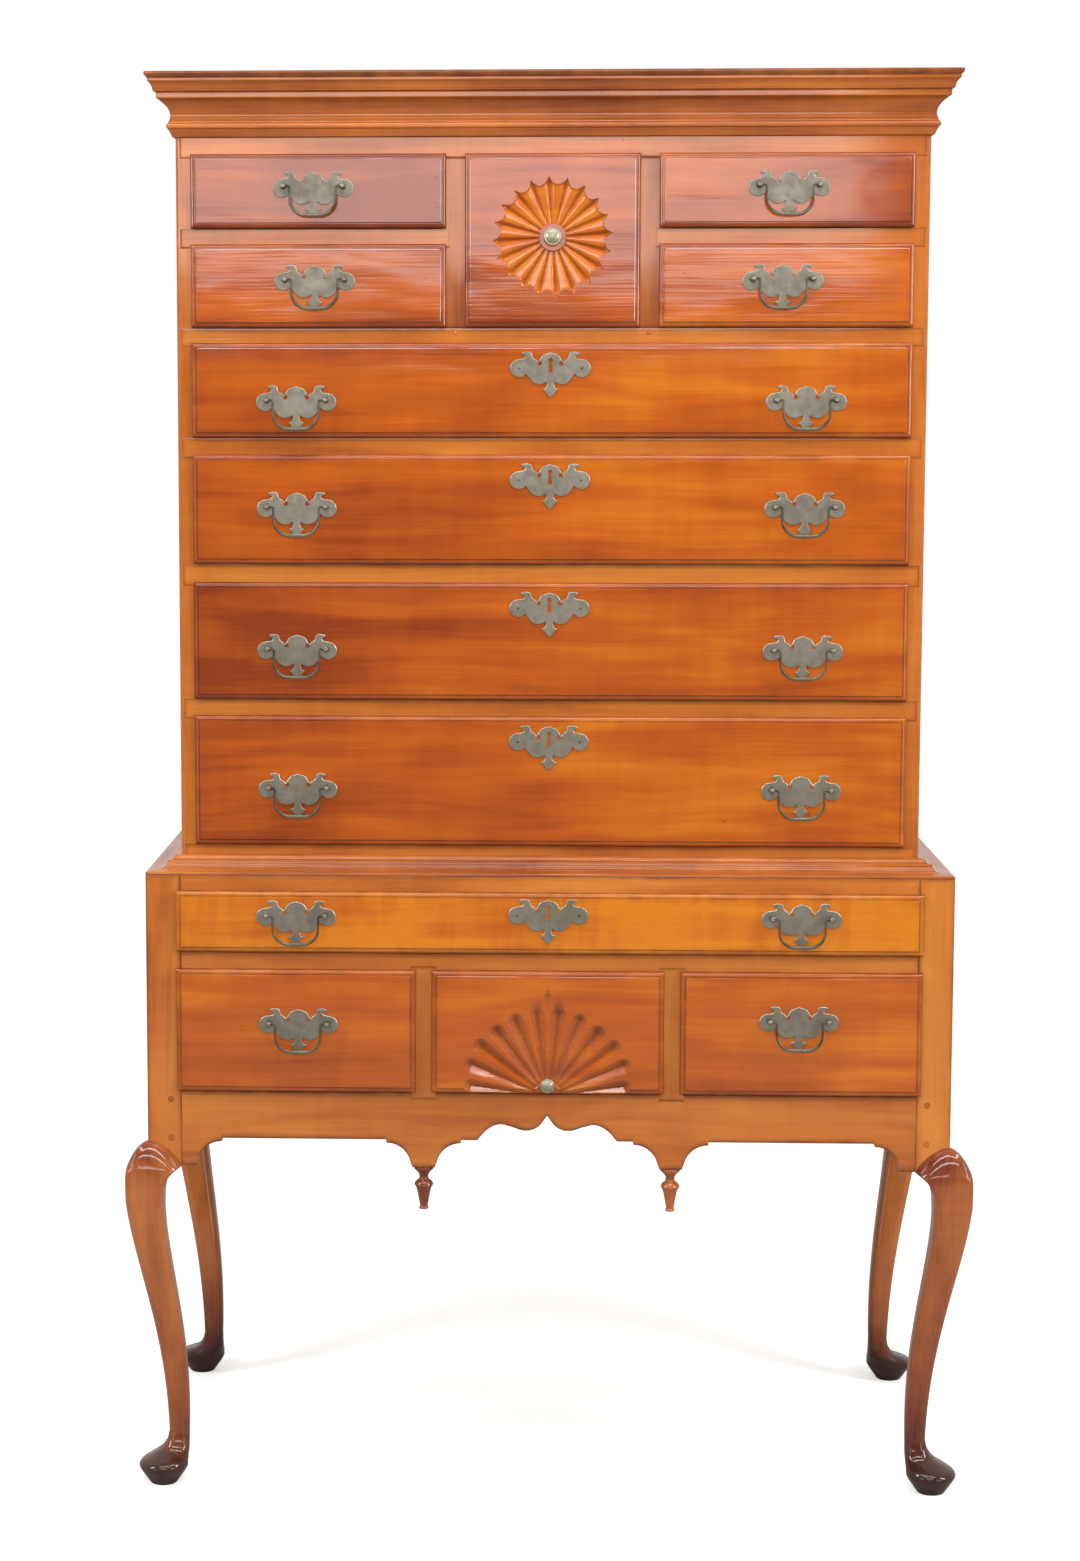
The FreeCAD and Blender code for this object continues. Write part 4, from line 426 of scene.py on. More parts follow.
# ---------------------------------------------------------------- skirt and drops
# The front skirt is one maple board between the front legs, sawn to brackets, two plinths and a
# cyma arch. A turned drop with a vase and a button tip is pinned up into each plinth.
front, skirt_top, skirt_back = -case_half["y"], 0.4935, -0.2065
inside_half, muntin_x, plinth_half, end_plinth = 0.441, 0.14875, 0.015, 0.018
hollow, bracket_drop, arch_half, arch_rise = 0.030, 0.034, 0.084, 0.031
plinth_foot = leg_height - bracket_drop
ARCH = ((0.0, 0.045, 0.095, 0.19, 0.32, 0.53, 0.68, 0.8, 0.9, 1.0),
        (1.0, 0.82, 0.64, 0.46, 0.4, 0.56, 0.64, 0.53, 0.32, 0.0))


def bracketed(away):
    """Height of the lower edge over the plinth's foot, away from a plinth: none on the plinth,
    a hollow quarter round beside it, then a small step up to the flat."""
    away = np.clip(away, 0, None)
    arc = np.sqrt(np.clip(hollow ** 2 - (hollow - away) ** 2, 0, None))
    return np.where(away < hollow, arc, bracket_drop)


def skirt_edge(x):
    """Height of the skirt's lower edge at x: the lowest of its brackets and its arch."""
    x = np.abs(x)
    low = np.minimum(bracketed(np.abs(x - muntin_x) - plinth_half),
                     bracketed(inside_half - end_plinth - x))
    arch = smooth(*ARCH, np.clip(x / arch_half, 0, 1)) * arch_rise
    return plinth_foot + low + np.where(x < arch_half, arch, 0)


def shaped_board(places, edge, top, near, far, along, radius=0.0009, **look):
    """A board whose lower edge follows a line: at each place along it, a closed section runs up
    its near face, over its top, down its far face and round its softened lower arrises."""
    up, lip = np.array([0, 0.002, 0.006, 0.012]), np.array([0.3, 1.0]) * radius
    low, high = edge[:, None] + radius + up, np.full((len(places), 4), top) - radius - up[::-1]
    rise = np.concatenate([low, high], 1)
    over = top - 0.3 * radius * np.array([1, 0, 0, 1]) + 0 * low
    under = edge[:, None] + 0.3 * radius * np.array([1, 0, 0, 1])
    z = np.concatenate([rise, over, rise[:, ::-1], under], 1)
    depth = np.concatenate([np.full(8, near), near + lip, far - lip[::-1], np.full(8, far),
                            far - lip, near + lip[::-1]])
    worn = np.exp(-up / 0.003)
    worn = np.tile(np.concatenate([worn, worn[::-1], np.ones(4)]), 2)
    ring = np.empty((*z.shape, 3))
    ring[..., along], ring[..., 1 - along], ring[..., 2] = places[:, None], depth, z
    ring, faces = capped(ring)
    return cut(ring, [faces], along, np.broadcast_to(worn, ring.shape[:2]), **look)


near_step = np.array([-2e-5, 2e-5])
turns = np.concatenate([muntin_x - plinth_half - hollow + near_step, [arch_half],
                        muntin_x + plinth_half + hollow + near_step,
                        inside_half - end_plinth - hollow + near_step, [inside_half]])
curved = np.concatenate([np.linspace(0, arch_half, 42), muntin_x + np.linspace(-1, 1, 41) * 0.045,
                         inside_half - end_plinth - np.linspace(0, 1, 15) ** 2 * hollow, turns])
curved = curved[np.abs(np.abs(curved[:, None] - turns[None, :]).min(1) - 1e-5) > 9e-6]
places = np.unique(np.concatenate([curved, turns, np.linspace(0.2, 0.38, 8)]))
places = np.concatenate([-places[:0:-1], places])
skirt = shaped_board(places, skirt_edge(places), skirt_top, front, skirt_back, 0, tone=0.02, seed=4)
piece("skirt_board", [skirt], case_maple, "carcass", ["front_skirt"])


def turned(profile, around=40):
    """A turning: (radius, height) pairs of the profile, carried round an upright axis."""
    radius, height = np.asarray(profile, float).T
    angle = np.linspace(0, 2 * math.pi, around, endpoint=False)
    rings = np.stack([radius[:, None] * np.cos(angle), radius[:, None] * np.sin(angle),
                      np.broadcast_to(height[:, None], (len(radius), around))], -1)
    return rings, quads(*rings.shape[:2], True)


drop_length, drop_radius = 0.054, 0.0124
down = np.array([0, 0.02, 0.07, 0.10, 0.15, 0.20, 0.24, 0.28, 0.31, 0.34, 0.38, 0.42, 0.455, 0.49, 0.56,
                 0.64, 0.73, 0.82, 0.89, 0.925, 0.945, 0.965, 0.985, 0.997, 1.0])
out = np.array([0.97, 1.0, 0.94, 0.78, 0.58, 0.46, 0.42, 0.44, 0.52, 0.70, 0.86, 0.92, 0.86, 0.75, 0.66,
                0.58, 0.51, 0.44, 0.38, 0.365, 0.43, 0.46, 0.42, 0.24, 0.0])
profile = [(0, 0.0), *zip(out * drop_radius, -down * drop_length)]
drops = []
for n, x in enumerate((-muntin_x, muntin_x)):
    rings, faces = turned(profile)
    dark = np.exp(-np.abs(rings[..., 2] + 0.24 * drop_length) / 0.003) * 0.6
    rings = rings + (x, (front + skirt_back) / 2, plinth_foot)
    drops.append(cut(rings, [faces], 2, dark, tone=-0.1, curl=0.0, seed=n + 6))
piece("turned_drops", drops, leg_maple, "carcass", ["skirt_drops"])

# ---------------------------------------------------------------- sides and back of the lower case
# Two wide maple side boards tenoned into the legs, with a bracket at each end, and a plain pine
# board across the back.
side_thick, side_y = 0.020, case_half["y"] - post
away = np.concatenate([[0], np.array([end_plinth]), end_plinth + np.linspace(0, 1, 15)[1:-1] ** 2 * hollow,
                       end_plinth + hollow + near_step, [0.06, 0.09, 0.13]])
places = np.concatenate([away - side_y, side_y - away[::-1]])
edge = plinth_foot + bracketed(side_y - end_plinth - np.abs(places))
panels = [shaped_board(places, edge, lower_top, side * case_half["x"], side * (case_half["x"] - side_thick),
                       1, tone=-0.02, curl=0.25, seed=8 + n) for n, side in enumerate((-1, 1))]
piece("lower_side_boards", panels, case_maple, "carcass", ["lower_sides"])


def pine(name, pale, dark, grime="#3A2616", along=None):
    """White pine, sawn and never varnished: soft early wood with darker lines of late wood 6 to
    10 mm apart, marks of the saw across it and a brown bloom of age. It looks dry and matt."""
    material, tree = blank(name)
    if along is None:
        grain = add(tree, "Attribute", attribute_name="grain").outputs["Vector"]
    else:
        place = add(tree, "SeparateXYZ", (add(tree, "TexCoord").outputs["Object"],)).outputs
        grain = add(tree, "CombineXYZ", (place[along], place[2], place[1 - along]))
    mood = add(tree, "Attribute", attribute_name="mood").outputs["Vector"]
    wear = add(tree, "SeparateXYZ", (mood,)).outputs[2]
    rings, fibres, bloom, saw = (
        add(tree, "TexNoise", {"Vector": add(tree, "VectorMath", (grain, scale), operation="MULTIPLY"),
                               "Scale": 1.0, "Detail": detail})
        for scale, detail in (((0.9, 110.0, 110.0), 3.0), ((10.0, 520.0, 520.0), 2.0),
                              ((5.0, 9.0, 9.0), 3.0), ((230.0, 4.0, 4.0), 1.0)))
    ramp = add(tree, "ValToRGB", (rings,))
    for element, position, code in zip(ramp.color_ramp.elements, (0.42, 0.56), (dark, pale)):
        element.position, element.color = position, tint(code)
    browned = add(tree, "MapRange", (bloom, 0.38, 0.68, 0.0, 0.5))
    dirty = add(tree, "Math", (browned, wear), operation="MAXIMUM")
    sawn = add(tree, "Math", (fibres, saw), operation="ADD")
    add(tree, "OutputMaterial", (add(tree, "BsdfPrincipled", {
        "Base Color": add(tree, "Mix", {0: dirty, 6: ramp, 7: tint(grime)}, data_type="RGBA"),
        "Roughness": 0.78, "Specular IOR Level": 0.25,
        "Normal": add(tree, "Bump", {"Strength": 0.5, "Distance": 0.0006, "Height": sawn})}),))
    return material


old_pine = pine("old_white_pine", "#A97C4E", "#8E663E")
back_low, back_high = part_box("lower_back")
panel = board((-inside_half, back_low.y, back_low.z), (inside_half, back_high.y, back_high.z), 0, 0.0015,
              seed=12)
piece("lower_back_board", [panel], old_pine, "carcass", ["lower_back"])

# ---------------------------------------------------------------- rails and muntins of the lower case
# A rail under the long drawer and a top rail, tenoned into the front legs, and two muntins lapped
# into the rail above and the skirt below, so that their ends show as flared laps.
mid_rail, top_rail, muntin_half, lap = (0.638, 0.6635), (0.7325, 0.756), 0.0145, 0.009
rails = [board((-inside_half, front, low), (inside_half, front + post, high), 0, 0.0008, tone=tone,
               seed=14 + n)
         for n, (low, high, tone) in enumerate(((*mid_rail, 0.1), (*top_rail, 0.12)))]
proud = 0.00015


def muntin(x, seed):
    """An upright with softened sides whose ends flare 1 mm to a dovetail where they are let in."""
    z = np.concatenate([skirt_top - lap + np.array([0, 0.004, 0.0088, 0.0092, 0.02]),
                        mid_rail[0] + np.array([-0.02, -0.0002, 0.0002, 0.004, lap])])
    flare = np.interp(z, (skirt_top - lap, skirt_top, mid_rail[0], mid_rail[0] + lap), (0.0009, 0, 0, 0.0012))
    half = (muntin_half + flare)[:, None]
    across = np.array([-1, -1, -0.985, 0, 0.985, 1, 1])[None, :] * half
    depth = np.broadcast_to(np.array([0.018, 0.0006, 0, 0, 0, 0.0006, 0.018]), across.shape)
    rings, faces = capped(np.stack([x + across, front - proud + depth,
                                    np.broadcast_to(z[:, None], across.shape)], -1))
    let_in = np.exp(-np.minimum(np.abs(z - z[0]), np.abs(z - z[-1])) / 0.001)
    sides = np.where(np.abs(np.arange(7) - 3) > 1, 0.5, 0.0)
    dark = np.maximum(np.pad(let_in, 1, constant_values=1.0)[:, None], sides)
    return cut(rings, [faces], 2, dark, 0.05, seed=seed)


piece("lower_rails", rails + [muntin(-muntin_x, 17), muntin(muntin_x, 18)], case_maple, "carcass",
      ["lower_front_rails"])

# ---------------------------------------------------------------- waist moulding
# A small cove and fillet moulding, run by hand in maple and nailed round the lower case's top
# edge, mitred at the two front corners. The upper case sits inside it.
upper_half, upper_front, back = 0.443, -0.1905, case_half["y"]


def moulding(name, profile, inner, outer, level, node, seed, painted_shade=0.0):
    """A profile of (out, up) pairs carried along three mitred stretches, left, front and right.
    out runs from 0 at the inner line of each stretch to 1 at its outer line; inner and outer are
    the (half width, front) of those two lines. Each end is closed level by level to the inner line."""
    out, up = np.asarray(profile, float).T
    step = np.diff(np.stack([out * (outer[0] - inner[0]), up], -1), axis=0, append=0)
    heading = np.unwrap(np.arctan2(step[:, 1], step[:, 0]))
    # Darker where the profile turns in, painted shade in its creases, and darkest at the profile's two ends;
    # the last argument adds painted shade over chosen bands.
    dirt_and_shade = np.clip(np.diff(heading, prepend=heading[0]) / 0.6, 0.0, 0.9)
    dirt_and_shade[0] = dirt_and_shade[-1] = 0.9
    dirt_and_shade = np.maximum(dirt_and_shade, painted_shade)
    solids = []
    for n, (first, last) in enumerate(((-1, -1), (-1, 1), (1, 1))):
        ends = []
        for share in (out, 0 * out):
            half = inner[0] + (outer[0] - inner[0]) * share
            corner = np.stack([half, inner[1] + (outer[1] - inner[1]) * share, level + up], -1)
            rear = np.stack([half, back + 0 * half, level + up], -1)
            ends.append(((corner if n == 1 else rear) * (first, 1, 1), corner * (last, 1, 1)))
        (start, end), (start_core, end_core) = ends
        length = np.abs(end[0] - start[0]).max()
        near_end = np.array([0, 0.0006, 0.003, 0.01])
        t = np.concatenate([near_end, np.linspace(0.03, length - 0.03, 12), length - near_end[::-1]])
        t = t[:, None] / length
        rings = np.concatenate([[start_core], start + (end - start) * t[..., None], [end_core]])
        seam = np.exp(-np.minimum(t, 1 - t) * length / 0.0008)
        dark = np.pad(np.maximum(seam, dirt_and_shade), ((1, 1), (0, 0)), constant_values=1.0)
        solids.append(cut(rings, [quads(*rings.shape[:2], True)], 0 if n == 1 else 1, dark, -0.2,
                          seed=seed + n))
    return piece(name, solids, case_maple, "carcass", [node], 24)


WAIST = [(0, 0), (0, 1), (0.10, 1), (0.125, 0.99), (0.155, 0.965), (0.185, 0.92), (0.215, 0.85),
         (0.235, 0.77), (0.24, 0.74), (0.31, 0.725), (0.37, 0.71), (0.38, 0.69), (0.385, 0.6),
         (0.405, 0.5), (0.44, 0.39), (0.48, 0.31), (0.53, 0.26), (0.59, 0.225), (0.66, 0.2),
         (0.8, 0.19), (0.94, 0.175), (0.975, 0.16), (0.995, 0.12), (1.0, 0.07), (0.99, 0)]
moulding("waist_stretches", np.array(WAIST) * (1, 0.020), (upper_half, upper_front),
         (case_half["x"], front), lower_top, "waist_moulding", 20)

# ---------------------------------------------------------------- upper case
# Two wide sides of maple with housings for six front rails; two dividers stand between the
# frieze and the first rail beside the square drawer, with short rails let into them. The ends of
# the rails show on the front edges of the sides, 4.5 mm from the outside.
upper_top, side_thickness, rebate, back_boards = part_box("upper_sides")[1].z, 0.0225, 0.011, 0.012
upper_inside, rail_depth, let_in = upper_half - side_thickness, 0.060, 0.018
LEVELS = {"base": (lower_top, 0.7885), "fourth": (0.940, 0.9645), "third": (1.100, 1.1265),
          "second": (1.252, 1.2765), "first": (1.3835, 1.406)}
frieze_foot, small_rail, divider_x, divider_half, bay_shift = 1.604, (1.499, 1.522), 0.11425, 0.016, 0.00175


def upper_side(right, seed):
    """One side board, its section carried up: a plank with a rebate behind for the back boards."""
    outer, inner, r = upper_half, upper_inside, 0.0009
    seat, notch = back - back_boards, upper_inside + rebate
    across = [outer - r, outer - 0.3 * r, outer, outer, outer, outer, outer, outer - r, notch + r, notch,
              notch, inner, inner, inner + 0.3 * r, inner + r, inner + 0.003, outer - 0.003]
    depth = [upper_front, upper_front + 0.3 * r, upper_front + r, upper_front + 0.012, 0.0, back - 0.012,
             back - r, back, back, back - r, seat, seat, upper_front + r, upper_front + 0.3 * r, upper_front,
             upper_front, upper_front]
    worn = np.array([0.5, 0.5, 0.3, 0, 0, 0, 0.5, 1, 1, 1, 0.5, 0.5, 0.9, 0.9, 0.7, 0.1, 0])
    ring = np.stack([right * np.array(across), depth, np.zeros(17)], -1)
    levels = np.linspace(lower_top, upper_top, 14)[:, None, None] * (0, 0, 1)
    rings, faces = capped(ring + levels)
    return cut(rings, [faces], 2, np.broadcast_to(worn, rings.shape[:2]), 0.0, 0.18, seed)


piece("upper_side_boards", [upper_side(-1, 24), upper_side(1, 25)], case_maple, "carcass",
      ["upper_sides"])

reach = upper_inside + let_in
near = upper_front - proud
fronts = [board((-reach, near, low), (reach, upper_front + rail_depth, high), 0, 0.0007, tone=0.1,
                seed=26 + n) for n, (low, high) in enumerate(LEVELS.values())]
fronts.append(board((-reach, near, frieze_foot), (reach, upper_front + 0.022, upper_top), 0, 0.0007,
                    tone=-0.1, seed=32))
for n, right in enumerate((-1, 1)):
    middle = right * divider_x + bay_shift
    ends = sorted((middle + right * (divider_half - 0.009), right * reach))
    fronts.append(board((ends[0], near, small_rail[0]), (ends[1], upper_front + rail_depth, small_rail[1]),
                        0, 0.0007, tone=-0.02, seed=34 + n))
    fronts.append(board((middle - divider_half, near + 0.0001, LEVELS["first"][1]),
                        (middle + divider_half, upper_front + 0.022, frieze_foot), 2, 0.0007, tone=-0.2,
                        seed=36 + n))
piece("upper_rails_and_dividers", fronts, case_maple, "carcass", ["upper_front_rails"])

# Three pine boards across the back, nailed into the rebates, and pine boards and runners inside.
back_half, count = upper_inside + rebate - 0.0001, 3
levels = np.linspace(lower_top, upper_top, count + 1)
planks = [board((-back_half, back - back_boards, low + 0.0004), (back_half, back - 0.0003, high - 0.0004), 0,
                0.0018, seed=40 + n) for n, (low, high) in enumerate(zip(levels, levels[1:]))]
piece("upper_back_planks", planks, old_pine, "carcass", ["upper_back_boards"])
for name, along in (("case_boards", 0), ("lower_drawer_runners", 1), ("upper_drawer_runners", 1)):
    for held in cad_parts[name].material_slots:
        held.material = pine("pine_inside_" + name, "#B98A58", "#8E6539", along=along)

# ---------------------------------------------------------------- nails and pegs
# Hand-forged iron nails with rose heads hold the back boards; riven pegs of darker wood are
# driven through the tenons of the skirt and the dividers.


def iron(name):
    """Wrought iron gone brown with rust: dull, pitted at 1 mm, hardly metallic any more."""
    material, tree = blank(name)
    place = add(tree, "TexCoord").outputs["Object"]
    pits = add(tree, "TexNoise", {"Vector": place, "Scale": 900.0, "Detail": 3.0})
    add(tree, "OutputMaterial", (add(tree, "BsdfPrincipled", {
        "Base Color": add(tree, "Mix", {0: pits, 6: tint("#2B211C"), 7: tint("#6B4330")}, data_type="RGBA"),
        "Roughness": 0.7, "Metallic": 0.35,
        "Normal": add(tree, "Bump", {"Strength": 0.6, "Distance": 0.0004, "Height": pits})}),))
    return material


def facing_back(rings, x, y, z):
    """A turning laid on its side, its top towards the back, at a place."""
    return np.stack([rings[..., 0] + x, rings[..., 2] + y, -rings[..., 1] + z], -1)


rose, faces = turned([(0, -0.004), (0.0012, -0.004), (0.0012, 0.0), (0.0036, 0.0), (0.0036, 0.0004),
                      (0.0026, 0.0011), (0.0012, 0.0016), (0, 0.0017)], 10)
nails = []
for low, high in zip(levels, levels[1:]):
    for side in (-1, 1):
        for share in (0.12, 0.5, 0.88):
            place = (side * (back_half - 0.006), back - 0.0004, low + share * (high - low))
            nails.append(cut(facing_back(rose, *place), [faces], 1))
for side in (-1, 1):
    for z in np.linspace(back_low.z + 0.03, back_high.z - 0.03, 4):
        nails.append(cut(facing_back(rose, side * (inside_half - 0.012), back_high.y, z), [faces], 1))
piece("back_nails", nails, iron("wrought_iron"), "carcass")

PEGS = ((-0.454, 0.482), (-0.454, 0.4345), (0.454, 0.482), (0.454, 0.4345),
        (bay_shift - divider_x, 1.4), (bay_shift + divider_x, 1.4))
peg_radius, pegs = 0.0040, []
for n, (x, z) in enumerate(PEGS):
    r = peg_radius if z < 1 else 0.7 * peg_radius
    peg, faces = turned([(0, 0.0), (0.45 * r, 0.0), (0.8 * r, 0.0001), (0.94 * r, 0.0002), (r, 0.0005),
                         (r, 0.004), (0, 0.004)], 14)
    angle = np.arctan2(peg[..., 1], peg[..., 0])
    peg[..., :2] *= (1 + 0.05 * np.cos(3 * angle + n) + 0.03 * np.cos(5 * angle))[..., None]
    dark = (np.arange(7) >= 3)[:, None] * np.ones(14)
    place = (x, (front if z < 1 else near) - 0.0004, z)
    pegs.append(cut(facing_back(peg, *place), [faces], 1, 0.7 * dark, tone=-0.15, curl=0, seed=50 + n))
piece("riven_pegs", pegs, case_maple, "carcass", ["joint_pegs"])

# ---------------------------------------------------------------- cornice
# Built up and run by hand: a small fillet and bead, a deep cove, a fillet, a cyma and a crown
# bevel, mitred at the front corners, with the back ends sawn flush.
tall, cornice_reach = 0.0745, 0.033


def bowed(points, count):
    """A smooth line through points, by the length of the chords between them."""
    points = np.asarray(points, float)
    far = np.concatenate([[0], np.cumsum(np.linalg.norm(np.diff(points, axis=0), axis=1))])
    t = np.linspace(0, far[-1], count)
    return np.stack([smooth(far, points[:, 0], t), smooth(far, points[:, 1], t)], -1)


CORNICE = np.concatenate([
    [(0, 0), (0, 1), (0.93, 1), (0.975, 0.994), (1.0, 0.977), (1.0, 0.957)],
    bowed([(0.995, 0.95), (0.965, 0.928), (0.915, 0.905)], 5), [(0.9, 0.9), (0.896, 0.894), (0.895, 0.886),
                                                              (0.893, 0.864), (0.892, 0.856), (0.885, 0.849)],
    bowed([(0.87, 0.845), (0.8, 0.815), (0.752, 0.777), (0.728, 0.742)], 8),
    [(0.722, 0.735), (0.718, 0.712), (0.71, 0.706), (0.635, 0.696), (0.618, 0.688), (0.613, 0.68),
     (0.612, 0.67), (0.61, 0.612), (0.609, 0.605), (0.6, 0.597)],
    bowed([(0.585, 0.594), (0.47, 0.563), (0.365, 0.525), (0.262, 0.47), (0.187, 0.41), (0.158, 0.355),
           (0.165, 0.31)], 22),
    [(0.172, 0.3), (0.18, 0.292), (0.2, 0.262), (0.222, 0.245), (0.228, 0.222), (0.25, 0.217)],
    bowed([(0.262, 0.214), (0.288, 0.195), (0.297, 0.165), (0.28, 0.145)], 13),
    [(0.25, 0.137), (0.232, 0.132), (0.228, 0.124)],
    bowed([(0.225, 0.12), (0.175, 0.085), (0.125, 0.035)], 6), [(0.115, 0.018), (0.05, 0.008), (0.03, 0.0)]])
# The crown, which faces down, and the top of the cove, under the fascia, are darkened as painted shade.
crown, cove = CORNICE[:, 1] > 0.903, np.exp(-np.abs(CORNICE[:, 1] - 0.575) / 0.03)
moulding("cornice_stretches", CORNICE * (1, tall), (upper_half, upper_front),
         (upper_half + cornice_reach, upper_front - cornice_reach), upper_top - tall, "cornice_moulding", 60,
         np.maximum(0.8 * crown, 0.6 * cove))

# ---------------------------------------------------------------- drawers
# Thirteen drawers: a thick maple front with a thumbnail lip over the case at its top and sides,
# half-blind dovetailed sides of thin pine, a back between them and a bottom in a groove. The
# square front is carved with a pinwheel of twenty petals and the lower middle one with a fan.
drawer_maple = maple("varnished_maple_drawers", "#D67C12", "#B8560C", "#863206")
drawer_pine = pine("drawer_pine", "#C79A68", "#AC8152")
lip_overlap, lip_proud, seat_gap, side_gap, top_gap = 0.005, 0.009, 0.0003, 0.001, 0.0025
front_depth, front_web, side_wood, back_wood, bottom_wood = 0.013, 0.003, 0.011, 0.010, 0.008
rear_gap, bottom_raise, lip_round, lip_flat, field_rise = 0.009, 0.006, 0.0045, 0.0058, 0.0012
EASE = np.array([0, 0.3, 0.9, 1.7, 2.7, 3.7, 4.6, 5.4, 5.8, 6.1, 6.9, 8.5, 12.0]) / 1000


def thumbnail(inset):
    """Depth of a front below its field, by the way in from its edge: a quarter round, a flat
    1.2 mm below the field and a quirk where the field rises."""
    short = np.clip(lip_round - inset, 0, None)
    depth = field_rise + lip_round - np.sqrt(np.clip(lip_round ** 2 - short ** 2, 0, None))
    rise = np.interp(inset, (lip_flat, 0.0061, 0.0069), (field_rise, 0.0005, 0))
    return np.where(inset < lip_flat, depth, rise)


def plain(x, z):
    """No carving: no depth, no dirt, no painted shade and no lighter wood."""
    return 0 * x, 0 * x, 0.0


def pinwheel(x, z):
    """Depth of the pinwheel, the least dirt and painted shade in it, and how much lighter its wood
    is: a dish that is deepest beside a round boss, pleated into petals by V cuts, and edged by a
    hollow arc between the points of each two cuts."""
    r, turn = np.hypot(x, z), np.degrees(np.arctan2(z, x))
    petal, first_cut = 18.0, 93.8
    u = np.abs(((turn - first_cut) / petal) % 1.0 - 0.5) * 2.0  # 0 on a petal, 1 in a cut
    reach = 0.0610 + 0.0095 * u ** 2.6
    dish = np.interp(r, (0.0168, 0.062, 0.071), (0.0034, 0.0011, 0.0002))
    swell = 0.0003 * (1 - (u / 0.5) ** 2) * np.clip(r / 0.05, 0, 1)
    groove = 0.0031 * np.clip(2 * u - 1, 0, 1) * np.clip(r / 0.055, 0, 1) ** 0.9
    groove *= np.clip((0.0708 - r) / 0.008, 0, 1)
    wall = np.clip((reach - r) / 0.0007, 0, 1)
    boss = np.clip((r - 0.0160) / 0.0006, 0, 1)
    return (dish - swell + groove) * wall * boss, 0.05 + 0 * r, 0.45


def fan(x, z):
    """Depth of the fan, its dirt and painted shade, and how much lighter its wood is: twelve gouged
    flutes, round at their outer ends, that narrow towards a low boss with a raised rim."""
    r, turn = np.hypot(x, z), np.degrees(np.arctan2(z, x))
    flute, rim_radius = 15.0, 0.0176
    n = np.clip(np.floor(turn / flute), 0, 11).astype(int)
    tip = np.array([99, 105, 106, 105, 106, 107, 107, 106, 105, 107, 105, 99])[n] / 1000
    off = np.abs(r * np.sin(np.radians(turn - flute * (n + 0.5))))
    end = tip - 0.0065
    half = 0.0030 + 0.084 * (np.minimum(r, end) - 0.02)
    v = np.hypot(off, np.clip(r - end, 0, None)) / half
    depth = np.where(turn > -10, 0.62 * half * np.clip(1 - v, 0, 1), 0)
    rim = np.interp(r, (0.0, 0.0135, 0.0148, 0.0163, rim_radius), (0.0012, 0.0012, 0.0001, 0.0, 0.0012))
    # Dirt and painted shade in the flutes, painted shadow towards their tips, and painted shade in the crease
    # at the foot of the rim.
    dirt_and_shade = 0.3 + 0.12 * np.exp(-np.abs(tip - 0.004 - r) / 0.01)
    dirt_and_shade += 0.5 * np.exp(-np.abs(r - 0.0172) / 0.0008)
    return np.where(r < rim_radius, rim, depth), dirt_and_shade, 0.05


